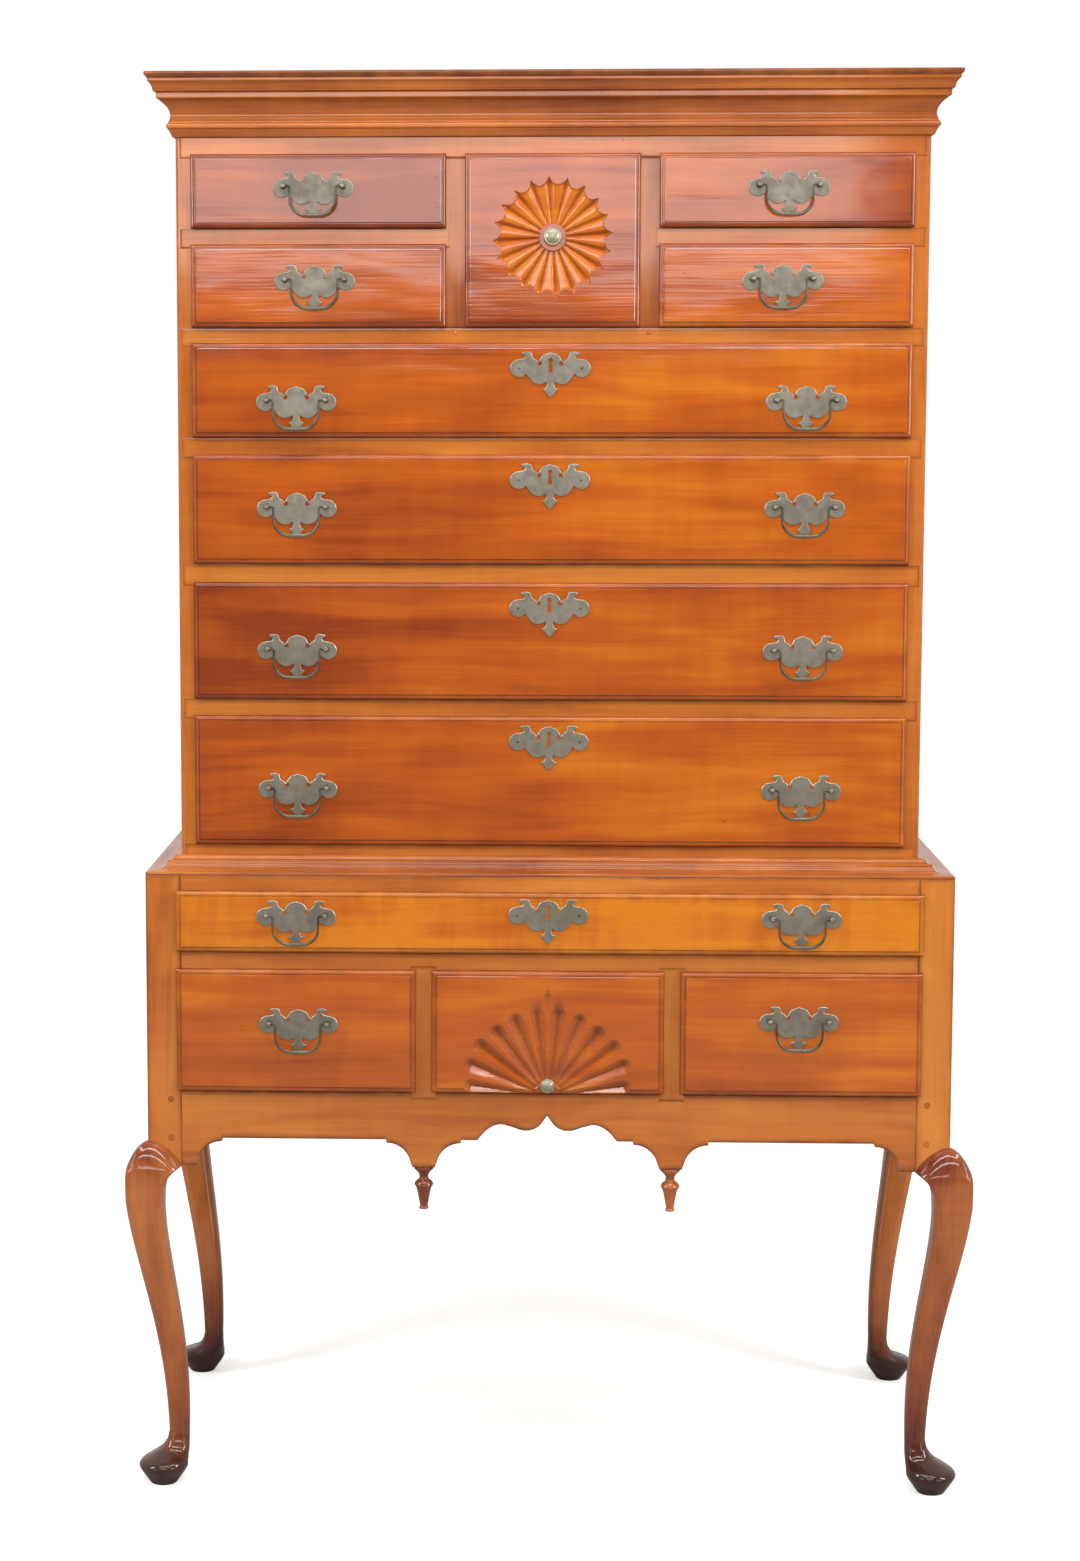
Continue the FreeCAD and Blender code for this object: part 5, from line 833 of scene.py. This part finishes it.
def drawer_front(low, high, y, lines, carving, marks, tone, edge_darkening, lean, **look):
    """The front of a drawer from its lipped edge: a grid whose depth is the thumbnail's or the
    carving's, whichever is deeper, then bands back to the lip's rear, the web and the core. The
    lip's outer edge and back are darkest, painted shadow where the lip meets the case; the lip's
    round has dirt, and the quirk a dark line of painted shade and dirt. It is darker just inside
    the quirk, towards its edges and, by lean, towards its left end; along its foot lies painted
    shadow of the gap with dirt; the carving gets painted shade, deeper down and on walls that face
    down, over its own dirt and shade; and its marks are dark."""
    x_lines, z_lines = (np.unique(np.round(np.clip(np.concatenate(
        [a + EASE, b - EASE, np.linspace(a, b, count), extra]), a, b), 6)) for a, b, count, extra in
        ((low[0], high[0], 22, lines[0]), (low[1], high[1], 6, lines[1])))
    x, z = np.meshgrid(x_lines, z_lines, indexing="ij")
    inset = np.minimum(np.minimum(x - low[0], high[0] - x), np.minimum(z - low[1], high[1] - z))
    carved, dirt_and_shade, fresh = carving(x, z)
    cut_in = carved > 0.00005
    # Lip: darkest at its outer edge, painted shadow where it meets the case; dirt on its round; a dark quirk
    # line of painted shade and dirt.
    dark = np.where(inset < 0.0008, 0.95, 0.4 + 0.5 * np.exp(-np.abs(inset - lip_flat) / 0.0004))
    dark[inset > 0.0062] = 0
    # Darker just inside the quirk and towards the edges, painted shadow of the gap with dirt along the foot,
    # and the marks.
    for more in (0.32 * np.exp(-np.clip(inset - 0.006, 0, None) / 0.004) * (inset > 0.006),
                 edge_darkening * np.exp(-inset / 0.028), np.exp(-(z - low[1]) / 0.0023),
                 *(0.7 * np.exp(-(np.hypot(x - spot, z - level) / radius) ** 4)
                   for spot, level, radius in marks)):
        dark = np.maximum(dark, more)
    # In the carving: darker the deeper it lies and on walls that face down, as painted shade, over the
    # carving's own dirt and shade.
    down = np.clip(-np.gradient(carved, z_lines, axis=1), 0, 1)
    dark = np.where(cut_in, np.clip(dirt_and_shade + (carved - 0.003) / 0.01 + 0.5 * down, dirt_and_shade, 0.7), dark)
    face = np.stack([x, y + np.maximum(thumbnail(inset), carved), z], -1)
    loop = np.concatenate([face[:-1, 0], face[-1, :-1], face[:0:-1, -1], face[0, :0:-1]])
    margin = lip_overlap + side_gap

    def held(points, level, inward):
        """The points brought within the body, and inward more at the sides, at one depth."""
        return np.stack([np.clip(points[..., 0], low[0] + margin + inward, high[0] - margin - inward),
                         np.full(points.shape[:-1], level),
                         np.clip(points[..., 2], low[1], high[1] - lip_overlap - top_gap)], -1)

    lip_rear, web, core = y + lip_proud - 0.0003, y + lip_proud + front_web, y + lip_proud + front_depth
    bands = [loop, loop * (1, 0, 1) + (0, lip_rear, 0), held(loop, lip_rear, 0.0), held(loop, web, 0.0),
             held(loop, web, side_wood), held(loop, core, side_wood)]
    grid, count = quads(*face.shape[:2]), face.shape[0] * face.shape[1]
    points = np.concatenate([face.reshape(-1, 3), *bands, held(face, core, side_wood).reshape(-1, 3)])
    faces = [grid, quads(len(bands), len(loop), True) + count, grid + count + len(bands) * len(loop)]
    # The lip's edge and its back get painted shadow where the lip meets the case.
    dark = np.concatenate([dark.reshape(-1), np.repeat([0.95, 0.9, 0.1, 0.1, 0.0, 0.0], len(loop)),
                           np.zeros(count)])
    tone = tone + lean * np.clip((points[:, 0] - low[0]) / (high[0] - low[0]) * 1.6 - 1, -1, 0)
    tone[:count] += fresh * cut_in.reshape(-1)
    return cut(points, faces, 0, dark, tone, **look)


def dovetails(x, outward, y, low, high, depth):
    """The pins of half-blind dovetails where they show on the outside of a side board: short
    wedges of the front's end grain, narrow in front and wide behind, a hair proud."""
    made = []
    count = max(2, int(round((high - low) / 0.034)))
    pitch = (high - low) / count
    for n in range(count + 1):
        middle = low + n * pitch
        wide = np.clip(middle + np.array([[-0.0018, 0.0018], [-0.0042, 0.0042]]), low, high)
        ring = np.array([[x, y, wide[0, 0]], [x, y, wide[0, 1]], [x, y + depth, wide[1, 1]],
                         [x, y + depth, wide[1, 0]]])
        rings, faces = capped(np.stack([ring - (outward * 0.002, 0, 0), ring + (outward * 0.00012, 0, 0)]))
        made.append(cut(rings, [faces], 1, tone=-0.25, curl=0, seed=n))
    return made


lower_face, upper_face = front - lip_proud, upper_front - lip_proud
bay_half, low_bay, side_bay = divider_x - divider_half, muntin_x - muntin_half, muntin_x + muntin_half
bay = (bay_shift - bay_half, bay_shift + bay_half)
left = (-upper_inside, bay_shift - divider_x - divider_half)
right = (bay_shift + divider_x + divider_half, upper_inside)
whole, low_whole = (-upper_inside, upper_inside), (-inside_half, inside_half)
row_foot, low_row = LEVELS["first"][1], (skirt_top, mid_rail[0])
top_row, second_row = (small_rail[1], frieze_foot), (row_foot, small_rail[0])
first, second, third, fourth = ((LEVELS[below][1], LEVELS[above][0]) for below, above in (
    ("second", "first"), ("third", "second"), ("fourth", "third"), ("base", "fourth")))
# name: (left, right) and (foot, head) of its opening, its face, tone and curl, what is cut in it
# The tones darken the top rows, most at the top left: painted shade that evens out the overhead lamps, which
# light the upper drawers more.
DRAWERS = {
    "top_left": (left, top_row, upper_face, -0.42, 0.05, plain),
    "top_right": (right, top_row, upper_face, -0.25, 0.05, plain),
    "second_left": (left, second_row, upper_face, -0.15, 0.05, plain),
    "second_right": (right, second_row, upper_face, -0.06, 0.05, plain),
    "pinwheel": (bay, (row_foot, frieze_foot), upper_face, -0.34, 0.05, pinwheel),
    "first_long": (whole, first, upper_face, 0.02, 0.1, plain),
    "second_long": (whole, second, upper_face, 0.0, 0.1, plain),
    "third_long": (whole, third, upper_face, -0.03, 0.1, plain),
    "fourth_long": (whole, fourth, upper_face, 0.04, 0.1, plain),
    "lower_long": (low_whole, (mid_rail[1], top_rail[0]), lower_face, 0.4, 0.3, plain),
    "lower_left": ((-inside_half, -side_bay), low_row, lower_face, -0.04, 0.1, plain),
    "lower_right": ((side_bay, inside_half), low_row, lower_face, 0.03, 0.1, plain),
    "fan": ((-low_bay, low_bay), low_row, lower_face, -0.05, 0.05, fan)}
LONG = ("first_long", "second_long", "third_long", "fourth_long")
lock_height = {name: DRAWERS[name][1][1] - 0.0252 for name in LONG}
lock_height["lower_long"] = top_rail[0] - 0.0215
# Heads of nails in the top left front and a plugged hole over the fan: x, z and radius.
MARKS = ((-0.4211, 1.5781, 0.002), (-0.4212, 1.5572, 0.002), (-0.1348, 1.5809, 0.0018),
         (-0.1348, 1.5462, 0.0018), (0.0004, 0.6146, 0.0043))
near_mark = np.linspace(-0.0035, 0.0035, 8)
wheel_z = row_foot + seat_gap + (frieze_foot - row_foot + lip_overlap - seat_gap) / 2 + 0.0035
fan_z = skirt_top + seat_gap - 0.003

for number, (name, (sides, levels, face_y, tone, curl, carving)) in enumerate(DRAWERS.items()):
    foot, middle = levels[0] + seat_gap, sum(sides) / 2
    low, high = (sides[0] - lip_overlap, foot), (sides[1] + lip_overlap, levels[1] + lip_overlap)
    centre, lines = 0.0, ([middle], [foot])
    if carving is pinwheel:
        spread = np.linspace(-0.0725, 0.0725, 230)
        centre, lines = wheel_z, (middle + spread, wheel_z + spread)
    elif carving is fan:
        centre = fan_z
        lines = middle + np.linspace(-0.107, 0.107, 300), np.linspace(foot, centre + 0.107, 150)
    marks = [mark for mark in MARKS if low[0] < mark[0] < high[0] and low[1] < mark[1] < high[1]]
    lines = [np.concatenate([line, *(mark[axis] + near_mark for mark in marks)])
             for axis, line in enumerate(lines)]
    edge_darkening, lean = (0.3, 0.3) if name in LONG else (0.15, 0.0)
    wood = [drawer_front(low, high, face_y, lines, lambda x, z: carving(x - middle, z - centre), marks,
                         tone, edge_darkening, lean, curl=curl, seed=70 + number)]
    case_y = face_y + lip_proud
    rear = (back - back_boards if face_y == upper_face else back - 0.018) - rear_gap
    half, head = (sides[1] - sides[0]) / 2 - side_gap, foot + levels[1] - levels[0] - top_gap
    start, inner, clear = case_y + front_web, half - side_wood, 0.0001
    floor_z, seat = foot + bottom_raise, foot + bottom_raise + bottom_wood
    box = []
    for hand in (-1, 1):
        outer, within = middle + hand * half, middle + hand * inner
        box.append(board((min(outer, within), start, foot), (max(outer, within), rear, head), 1, 0.0012,
                         seed=90 + number + hand))
        wood += dovetails(outer, hand, start, foot + 0.0015, head - 0.0015, front_depth - front_web)
        box += dovetails(outer, hand, rear - back_wood, seat, head - 0.007, back_wood)
    near_x, far_x = middle - inner + clear, middle + inner - clear
    box.append(board((near_x, rear - back_wood, seat), (far_x, rear - clear, head - 0.006), 0,
                     seed=110 + number))
    box.append(board((near_x, case_y + front_depth + clear, floor_z), (far_x, rear - clear, seat - clear), 0,
                     0.0008, seed=130 + number))
    piece(name + "_front", wood, drawer_maple, name, [name + "_drawer"], 28)
    piece(name + "_box", box, drawer_pine, name, [name + "_drawer"])

# ---------------------------------------------------------------- brasses
# Sixteen pulls and five keyhole plates of sheet brass, sawn to a bat's-wing outline, filed to a
# bevel and pierced, with cast posts, nuts inside the drawers and bails sprung into the posts;
# two cast knobs, and five locks screwed behind the fronts of the long drawers.
plate_thick, bevel, post_half, lobe_x, post_rise = 0.0015, 0.0008, 0.035, 0.037, 0.0025


def brass(name, bare, dull, dark, gloss=0.30):
    """Old cast and sheet brass: a brown-grey film with darker spots and a fine lengthways scour
    0.4 mm apart, rubbed to bare metal where the mood says an arris is worn."""
    material, tree = blank(name)
    place = add(tree, "TexCoord").outputs["Object"]
    mood = add(tree, "Attribute", attribute_name="mood").outputs["Vector"]
    wear = add(tree, "SeparateXYZ", (mood,)).outputs[2]
    film = add(tree, "TexNoise", {"Vector": place, "Scale": 95.0, "Detail": 3.0})
    spots = add(tree, "TexNoise", {"Vector": place, "Scale": 17.0, "Detail": 2.0})
    lines = add(tree, "VectorMath", (place, (150.0, 150.0, 2400.0)), operation="MULTIPLY")
    scour = add(tree, "TexNoise", {"Vector": lines, "Scale": 1.0, "Detail": 1.0})
    level = add(tree, "Math", (film, spots), operation="ADD")
    share = add(tree, "MapRange", (level, 0.8, 1.2, 0.0, 1.0))
    coat = add(tree, "Mix", {0: share, 6: tint(dark), 7: tint(dull)}, data_type="RGBA")
    rubbed = add(tree, "MapRange", (wear, 0.15, 0.9, 0.0, 1.0))
    fine = add(tree, "Bump", {"Strength": 0.2, "Distance": 0.0002, "Height": scour})
    add(tree, "OutputMaterial", (add(tree, "BsdfPrincipled", {
        "Base Color": add(tree, "Mix", {0: rubbed, 6: coat, 7: tint(bare)}, data_type="RGBA"),
        "Metallic": add(tree, "MapRange", (rubbed, 0.0, 1.0, 0.42, 0.95)),
        "Roughness": add(tree, "MapRange", (level, 0.75, 1.25, gloss + 0.16, gloss)),
        "Normal": add(tree, "Bump", {"Strength": 0.3, "Distance": 0.0012, "Height": spots,
                                     "Normal": fine})}),))
    return material


plate_brass = brass("tarnished_sheet_brass", "#B2AA94", "#857E75", "#5B564E", 0.36)
cast_brass = brass("tarnished_cast_brass", "#BBB69B", "#656050", "#3C382E", 0.24)


def spaced(corners, step=0.001, curved=True):
    """Points along a line through corners, at even shares of its length: a smooth curve through
    them or straight runs. The last point is left for the next stretch."""
    corners = np.asarray(corners, float)
    run = np.concatenate([[0], np.cumsum(np.linalg.norm(np.diff(corners, axis=0), axis=1))])
    at = np.linspace(0, run[-1], max(2, int(run[-1] / step)) + 1)[:-1]
    if curved:
        return np.stack([smooth(run, corners[:, 0], at), smooth(run, corners[:, 1], at)], -1)
    return np.stack([np.interp(at, run, corners[:, 0]), np.interp(at, run, corners[:, 1])], -1)


def plate_edge():
    """Outline of a plate about the middle of its side lobes, in metres, anticlockwise: from the
    point of the tail up one side to the dome, and its mirror image down the other. Each run goes
    on from the end of the one before, and the arc of the lobe takes the place of the None."""
    lobe, drop, dome, radius = 37.0, 35.0, 18.9, 10.6
    sweep = np.radians(np.linspace(-143.1, 90, 44))
    arc = np.stack([lobe + radius * np.cos(sweep), radius * np.sin(sweep)], -1)
    runs = [(((6.2, -0.79 * drop), (9.6, -0.7 * drop)), 1.0, False),
            (((5.4, -0.64 * drop), (4.2, -0.5 * drop), (4.6, -0.46 * drop)), 0.8, True),
            (((12.1, -0.546 * drop), (19.5, -0.5 * drop), (24.6, -0.35 * drop), (28.52, -6.36)), 1.0, True),
            None, (((lobe - 6.2, radius + 1),), 1.0, False),
            (((lobe - 7.5, 0.75 * dome), (lobe - 4.6, 0.84 * dome), (lobe - 2.9, 0.93 * dome),
              (lobe - 4.1, 1.01 * dome)), 0.7, True),
            (((lobe - 10.5, 1.04 * dome), (lobe - 14.1, 0.98 * dome), (lobe - 16.4, 0.66 * dome),
              (16.4, 0.51 * dome)), 0.8, True),
            (((14.9, 0.4 * dome), (13.1, 0.51 * dome)), 0.8, False),
            (((10.0, 0.78 * dome), (0, dome)), 0.9, True)]
    half, start = [], (0, -drop)
    for run in runs:
        if run is None:
            half.append(arc[:-1])
            start = (lobe, radius)
        else:
            corners, step, curved = run
            half.append(spaced([start, *corners], step, curved))
            start = corners[-1]
    half = np.concatenate(half)
    return np.concatenate([half, [(0, dome)], half[:0:-1] * (-1, 1)]) / 1000


def inward(loop, width):
    """A closed loop moved to its left by a width, along the mean of the two sides' normals and
    further at a corner, up to 1.7 times, so that the strip keeps its width there."""
    ahead, behind = np.roll(loop, -1, 0) - loop, loop - np.roll(loop, 1, 0)
    ahead /= np.linalg.norm(ahead, axis=1, keepdims=True)
    behind /= np.linalg.norm(behind, axis=1, keepdims=True)
    mean = ahead + behind
    mean /= np.maximum(np.linalg.norm(mean, axis=1, keepdims=True), 1e-6)
    stretch = np.clip(1 / np.maximum((mean * ahead).sum(1, keepdims=True), 0.3), 1, 1.7)
    return loop + width * stretch * np.stack([-mean[:, 1], mean[:, 0]], -1)


def within(loop, spots):
    """Whether each spot lies in a closed loop: a line to its right crosses the loop an odd number
    of times."""
    (x1, z1), (x2, z2) = loop.T, np.roll(loop, -1, 0).T
    x, z = spots[:, :1], spots[:, 1:]
    level = np.where(z1 == z2, 1.0, z2 - z1)
    return (((z1 > z) != (z2 > z)) & (x < (x2 - x1) * (z - z1) / level + x1)).sum(1) % 2 == 1


def sheet(loops, bevels, thick):
    """A sheet cut to loops, the first its outline and the others its holes, clockwise: its back
    at y = 0, its front at -thick, and a bevel round each loop. Delaunay triangles between the
    loops fill its flats."""
    rings, faces, wear, fronts, count = [], [], [], [], 0
    for loop, width in zip(loops, bevels):
        stack = [(inward(loop, 0.0001), 0.0), (loop, -0.0002), (loop, -0.5 * thick),
                 (inward(loop, 0.55 * width), -0.86 * thick), (inward(loop, width), -thick)]
        rings.append(np.concatenate([np.insert(flat, 1, level, 1) for flat, level in stack]))
        faces.append(quads(5, len(loop), True) + count)
        wear.append(np.repeat([0.0, 0.0, 0.55, 1.0, 0.35], len(loop)))
        fronts.append(np.arange(len(loop)) + count + 4 * len(loop))
        count += 5 * len(loop)
    points, number = np.concatenate(rings), np.concatenate(fronts)
    flat = points[number][:, [0, 2]]
    ends = np.cumsum([0] + [len(loop) for loop in loops])
    edges = [(n, n + 1 if n + 1 < end else start) for start, end in zip(ends, ends[1:])
             for n in range(start, end)]
    found = mathutils.geometry.delaunay_2d_cdt(flat.tolist(), edges, [], 1, 1e-7)
    nearest = np.linalg.norm(np.array(found[0])[:, None] - flat, axis=-1).argmin(1)
    triangles = nearest[np.array(found[2])]
    centre = flat[triangles].mean(1)
    inside = within(flat[:ends[1]], centre)
    for start, end in zip(ends[1:], ends[2:]):
        inside &= ~within(flat[start:end], centre)
    front = number[triangles[inside]]
    rear = front - np.repeat([4 * len(loop) for loop in loops], [5 * len(loop) for loop in loops])[front]
    faces += [np.concatenate([side, side[:, -1:]], 1) for side in (front, rear)]
    return points, np.concatenate(faces), np.concatenate(wear)


def hole(x, z, radius, around=20):
    """A round hole, clockwise."""
    angle = np.linspace(0, -2 * math.pi, around, endpoint=False)
    return np.stack([x + radius * np.cos(angle), z + radius * np.sin(angle)], -1)


pierced = [hole(side * 0.0129, 0.0058, 0.0026) for side in (-1, 1)]
top = np.radians(np.linspace(-122, -418, 17))
key = np.concatenate([np.stack([0.0027 * np.cos(top), 0.0094 + 0.0027 * np.sin(top)], -1),
                      spaced([(0.0013, 0.0068), (0.0015, 0.003), (0.0024, -0.0022)], 0.0012),
                      spaced([(0.0024, -0.0022), (0.0019, -0.0043), (0.0, -0.0051), (-0.0019, -0.0043),
                              (-0.0024, -0.0022)], 0.0009),
                      spaced([(-0.0024, -0.0022), (-0.0015, 0.003), (-0.0013, 0.0068)], 0.0012)])
edge = plate_edge()
pull_sheet = sheet([edge] + pierced, [bevel, 0.0003, 0.0003], plate_thick)
lock_sheet = sheet([edge] + pierced + [key], [bevel, 0.0003, 0.0003, 0.0003], plate_thick)


def forward(rings, x, y, z):
    """A turning laid on its side, its top towards the front, at a place."""
    return np.stack([rings[..., 0] + x, y - rings[..., 2], rings[..., 1] + z], -1)


# Each turning as (radius, height) pairs, its height from the face that it stands on.
ball = np.radians(np.linspace(-48, 68, 12))
POST = [(0, -0.016), (0.0020, -0.016), (0.0020, 0.0014), (0.0036, 0.0015), (0.0038, 0.0019), (0.0035, 0.0024),
        (0.0026, 0.0027), (0.0022, 0.0040), (0.0021, 0.0068), (0.0024, 0.0080),
        *zip(0.0034 * np.cos(ball), 0.011 + 0.0034 * np.sin(ball)),
        (0.0011, 0.01405), (0.0008, 0.0138), (0, 0.0137)]
NUT = [(0.0020, 0.0), (0.0048, 0.0), (0.0050, 0.0002), (0.0050, 0.0026), (0.0047, 0.0030), (0.0020, 0.0030)]
TACK = [(0, -0.008), (0.0007, -0.007), (0.0008, 0.0012), (0.0014, 0.0014), (0.0013, 0.0018), (0.0008, 0.0021),
        (0, 0.0022)]
KNOB = [(0, -0.015), (0.0020, -0.015), (0.0020, 0.0), (0.0062, 0.0), (0.0062, 0.0010), (0.0046, 0.0022),
        (0.0040, 0.0042), (0.0046, 0.0066), (0.0072, 0.0086), (0.0094, 0.0101), (0.0100, 0.0110),
        (0.0099, 0.0118), (0.0094, 0.0123), (0.0086, 0.0124), (0.0081, 0.0122), (0.0074, 0.0126),
        (0.0060, 0.0135), (0.0042, 0.0143), (0.0022, 0.0148), (0, 0.0150)]


def rod(path, radius, around=16):
    """A round rod along a path in the plane of X and Z: at each point a circle of its own radius,
    square to the path."""
    ahead = np.gradient(path, axis=0)
    ahead /= np.linalg.norm(ahead, axis=1, keepdims=True)
    angle = np.linspace(0, 2 * math.pi, around, endpoint=False)
    across = np.stack([-ahead[:, 1], ahead[:, 0]], -1)[:, None] * np.cos(angle)[None, :, None]
    flat = path[:, None] + radius[:, None, None] * across
    return np.stack([flat[..., 0], radius[:, None] * np.sin(angle), flat[..., 1]], -1)


def bail():
    """A bail about its pins: pin, elbow, arm, a bend of 19 mm that thickens, grip, and the same
    on the other side."""
    pin, arm, elbow, corner, low = 0.0384, 0.0272, 0.0021, 0.019, -0.0341
    turn = np.radians(np.linspace(90, 180, 9))
    bend = np.radians(np.linspace(0, -90, 21))
    half = np.concatenate([
        [(pin, 0.0), (pin - 0.0004, 0.0), (pin - 0.004, 0.0)],
        np.stack([arm + elbow + elbow * np.cos(turn), -elbow + elbow * np.sin(turn)], -1),
        [(arm, -0.006), (arm, -0.011)],
        np.stack([arm - corner + corner * np.cos(bend), low + corner + corner * np.sin(bend)], -1),
        [(0.004, low)]])
    path = np.concatenate([half, [(0.0, low)], half[::-1] * (-1, 1)])
    run = np.interp(np.arange(len(half)), (0, 1, 14, 34, 35), (0.9, 1.3, 1.3, 2.3, 2.35)) / 1000
    radius = np.concatenate([run, [0.0024], run[::-1]])
    return capped(rod(path, radius))


handle, handle_faces = bail()
handle_shine = np.interp(handle[..., 2], (-0.0365, -0.030, -0.015), (0.4, 0.2, 0.05))
pair = (-0.301, 0.301)
# name: height of its pulls over the foot of the opening, and their places from its middle
PULLS = {"top_left": (0.0465, (-0.0055,)), "top_right": (0.0465, (0.0017,)),
         "second_left": (0.054, (-0.0039,)), "second_right": (0.054, (-0.0046,)),
         "first_long": (0.0422, pair), "second_long": (0.0665, pair), "third_long": (0.0592, pair),
         "fourth_long": (0.0678, pair), "lower_long": (0.044, pair), "lower_left": (0.0832, (0.0034,)),
         "lower_right": (0.090, (-0.0027,))}
KNOBS = {"pinwheel": (wheel_z, 1.04), "fan": (skirt_top + seat_gap + 0.0127, 0.86)}
for number, (name, (sides, levels, face_y, *_)) in enumerate(DRAWERS.items()):
    middle, rear = sum(sides) / 2, face_y + lip_proud + front_depth
    made, cast = [], []
    height, shifts = PULLS.get(name, (0.0, ()))
    for shift in shifts:
        x, z = middle + shift, levels[0] + height
        points, faces, wear = pull_sheet
        made.append(cut(points + (x, face_y, z), [faces], 2, wear, seed=number))
        for side in (-1, 1):
            for profile, y, most in ((POST, face_y, 0.5), (NUT, rear + 0.003, 0.0)):
                rings, faces = turned(profile, 20)
                shine = np.interp(rings[..., 2], (0.002, 0.011, 0.0145), (0.0, 0.3 * most, most))
                cast.append(cut(forward(rings, x + side * post_half, y, z + post_rise), [faces], 1, shine))
        hand = "" if len(shifts) == 1 else ("_left", "_right")[shift > 0]
        hung = handle + (x, face_y - 0.011, z + post_rise)
        piece(name + "_pull" + hand, [cut(hung, [handle_faces], 0, handle_shine)], cast_brass,
              name + "_bail" + hand, [name + "_bail" + hand], 50)
    if name in lock_height:
        z = lock_height[name]
        points, faces, wear = lock_sheet
        made.append(cut(points + (middle, face_y, z), [faces], 2, wear, seed=number))
        for side in (-1, 1):
            rings, faces = turned(TACK, 12)
            cast.append(cut(forward(rings, middle + side * lobe_x, face_y, z), [faces], 1))
        case = 0.031
        cast.append(board((middle - case, rear + 0.0001, z - 0.016),
                          (middle + case, rear + 0.009, z + 0.014), 0))
    if name in KNOBS:
        z, size = KNOBS[name]
        rings, faces = turned(np.array(KNOB) * (size, 1.0), 40)
        shine = np.interp(rings[..., 2], (0.0, 0.009, 0.0118, 0.0126, 0.015), (0.1, 0.3, 0.9, 0.6, 0.8))
        cast.append(cut(forward(rings, middle, face_y, z), [faces], 1, shine))
    if made:
        piece(name + "_plates", made, plate_brass, name, [name + "_brass"], 24)
    piece(name + "_cast_brass", cast, cast_brass, name, [name + "_brass"], 50)
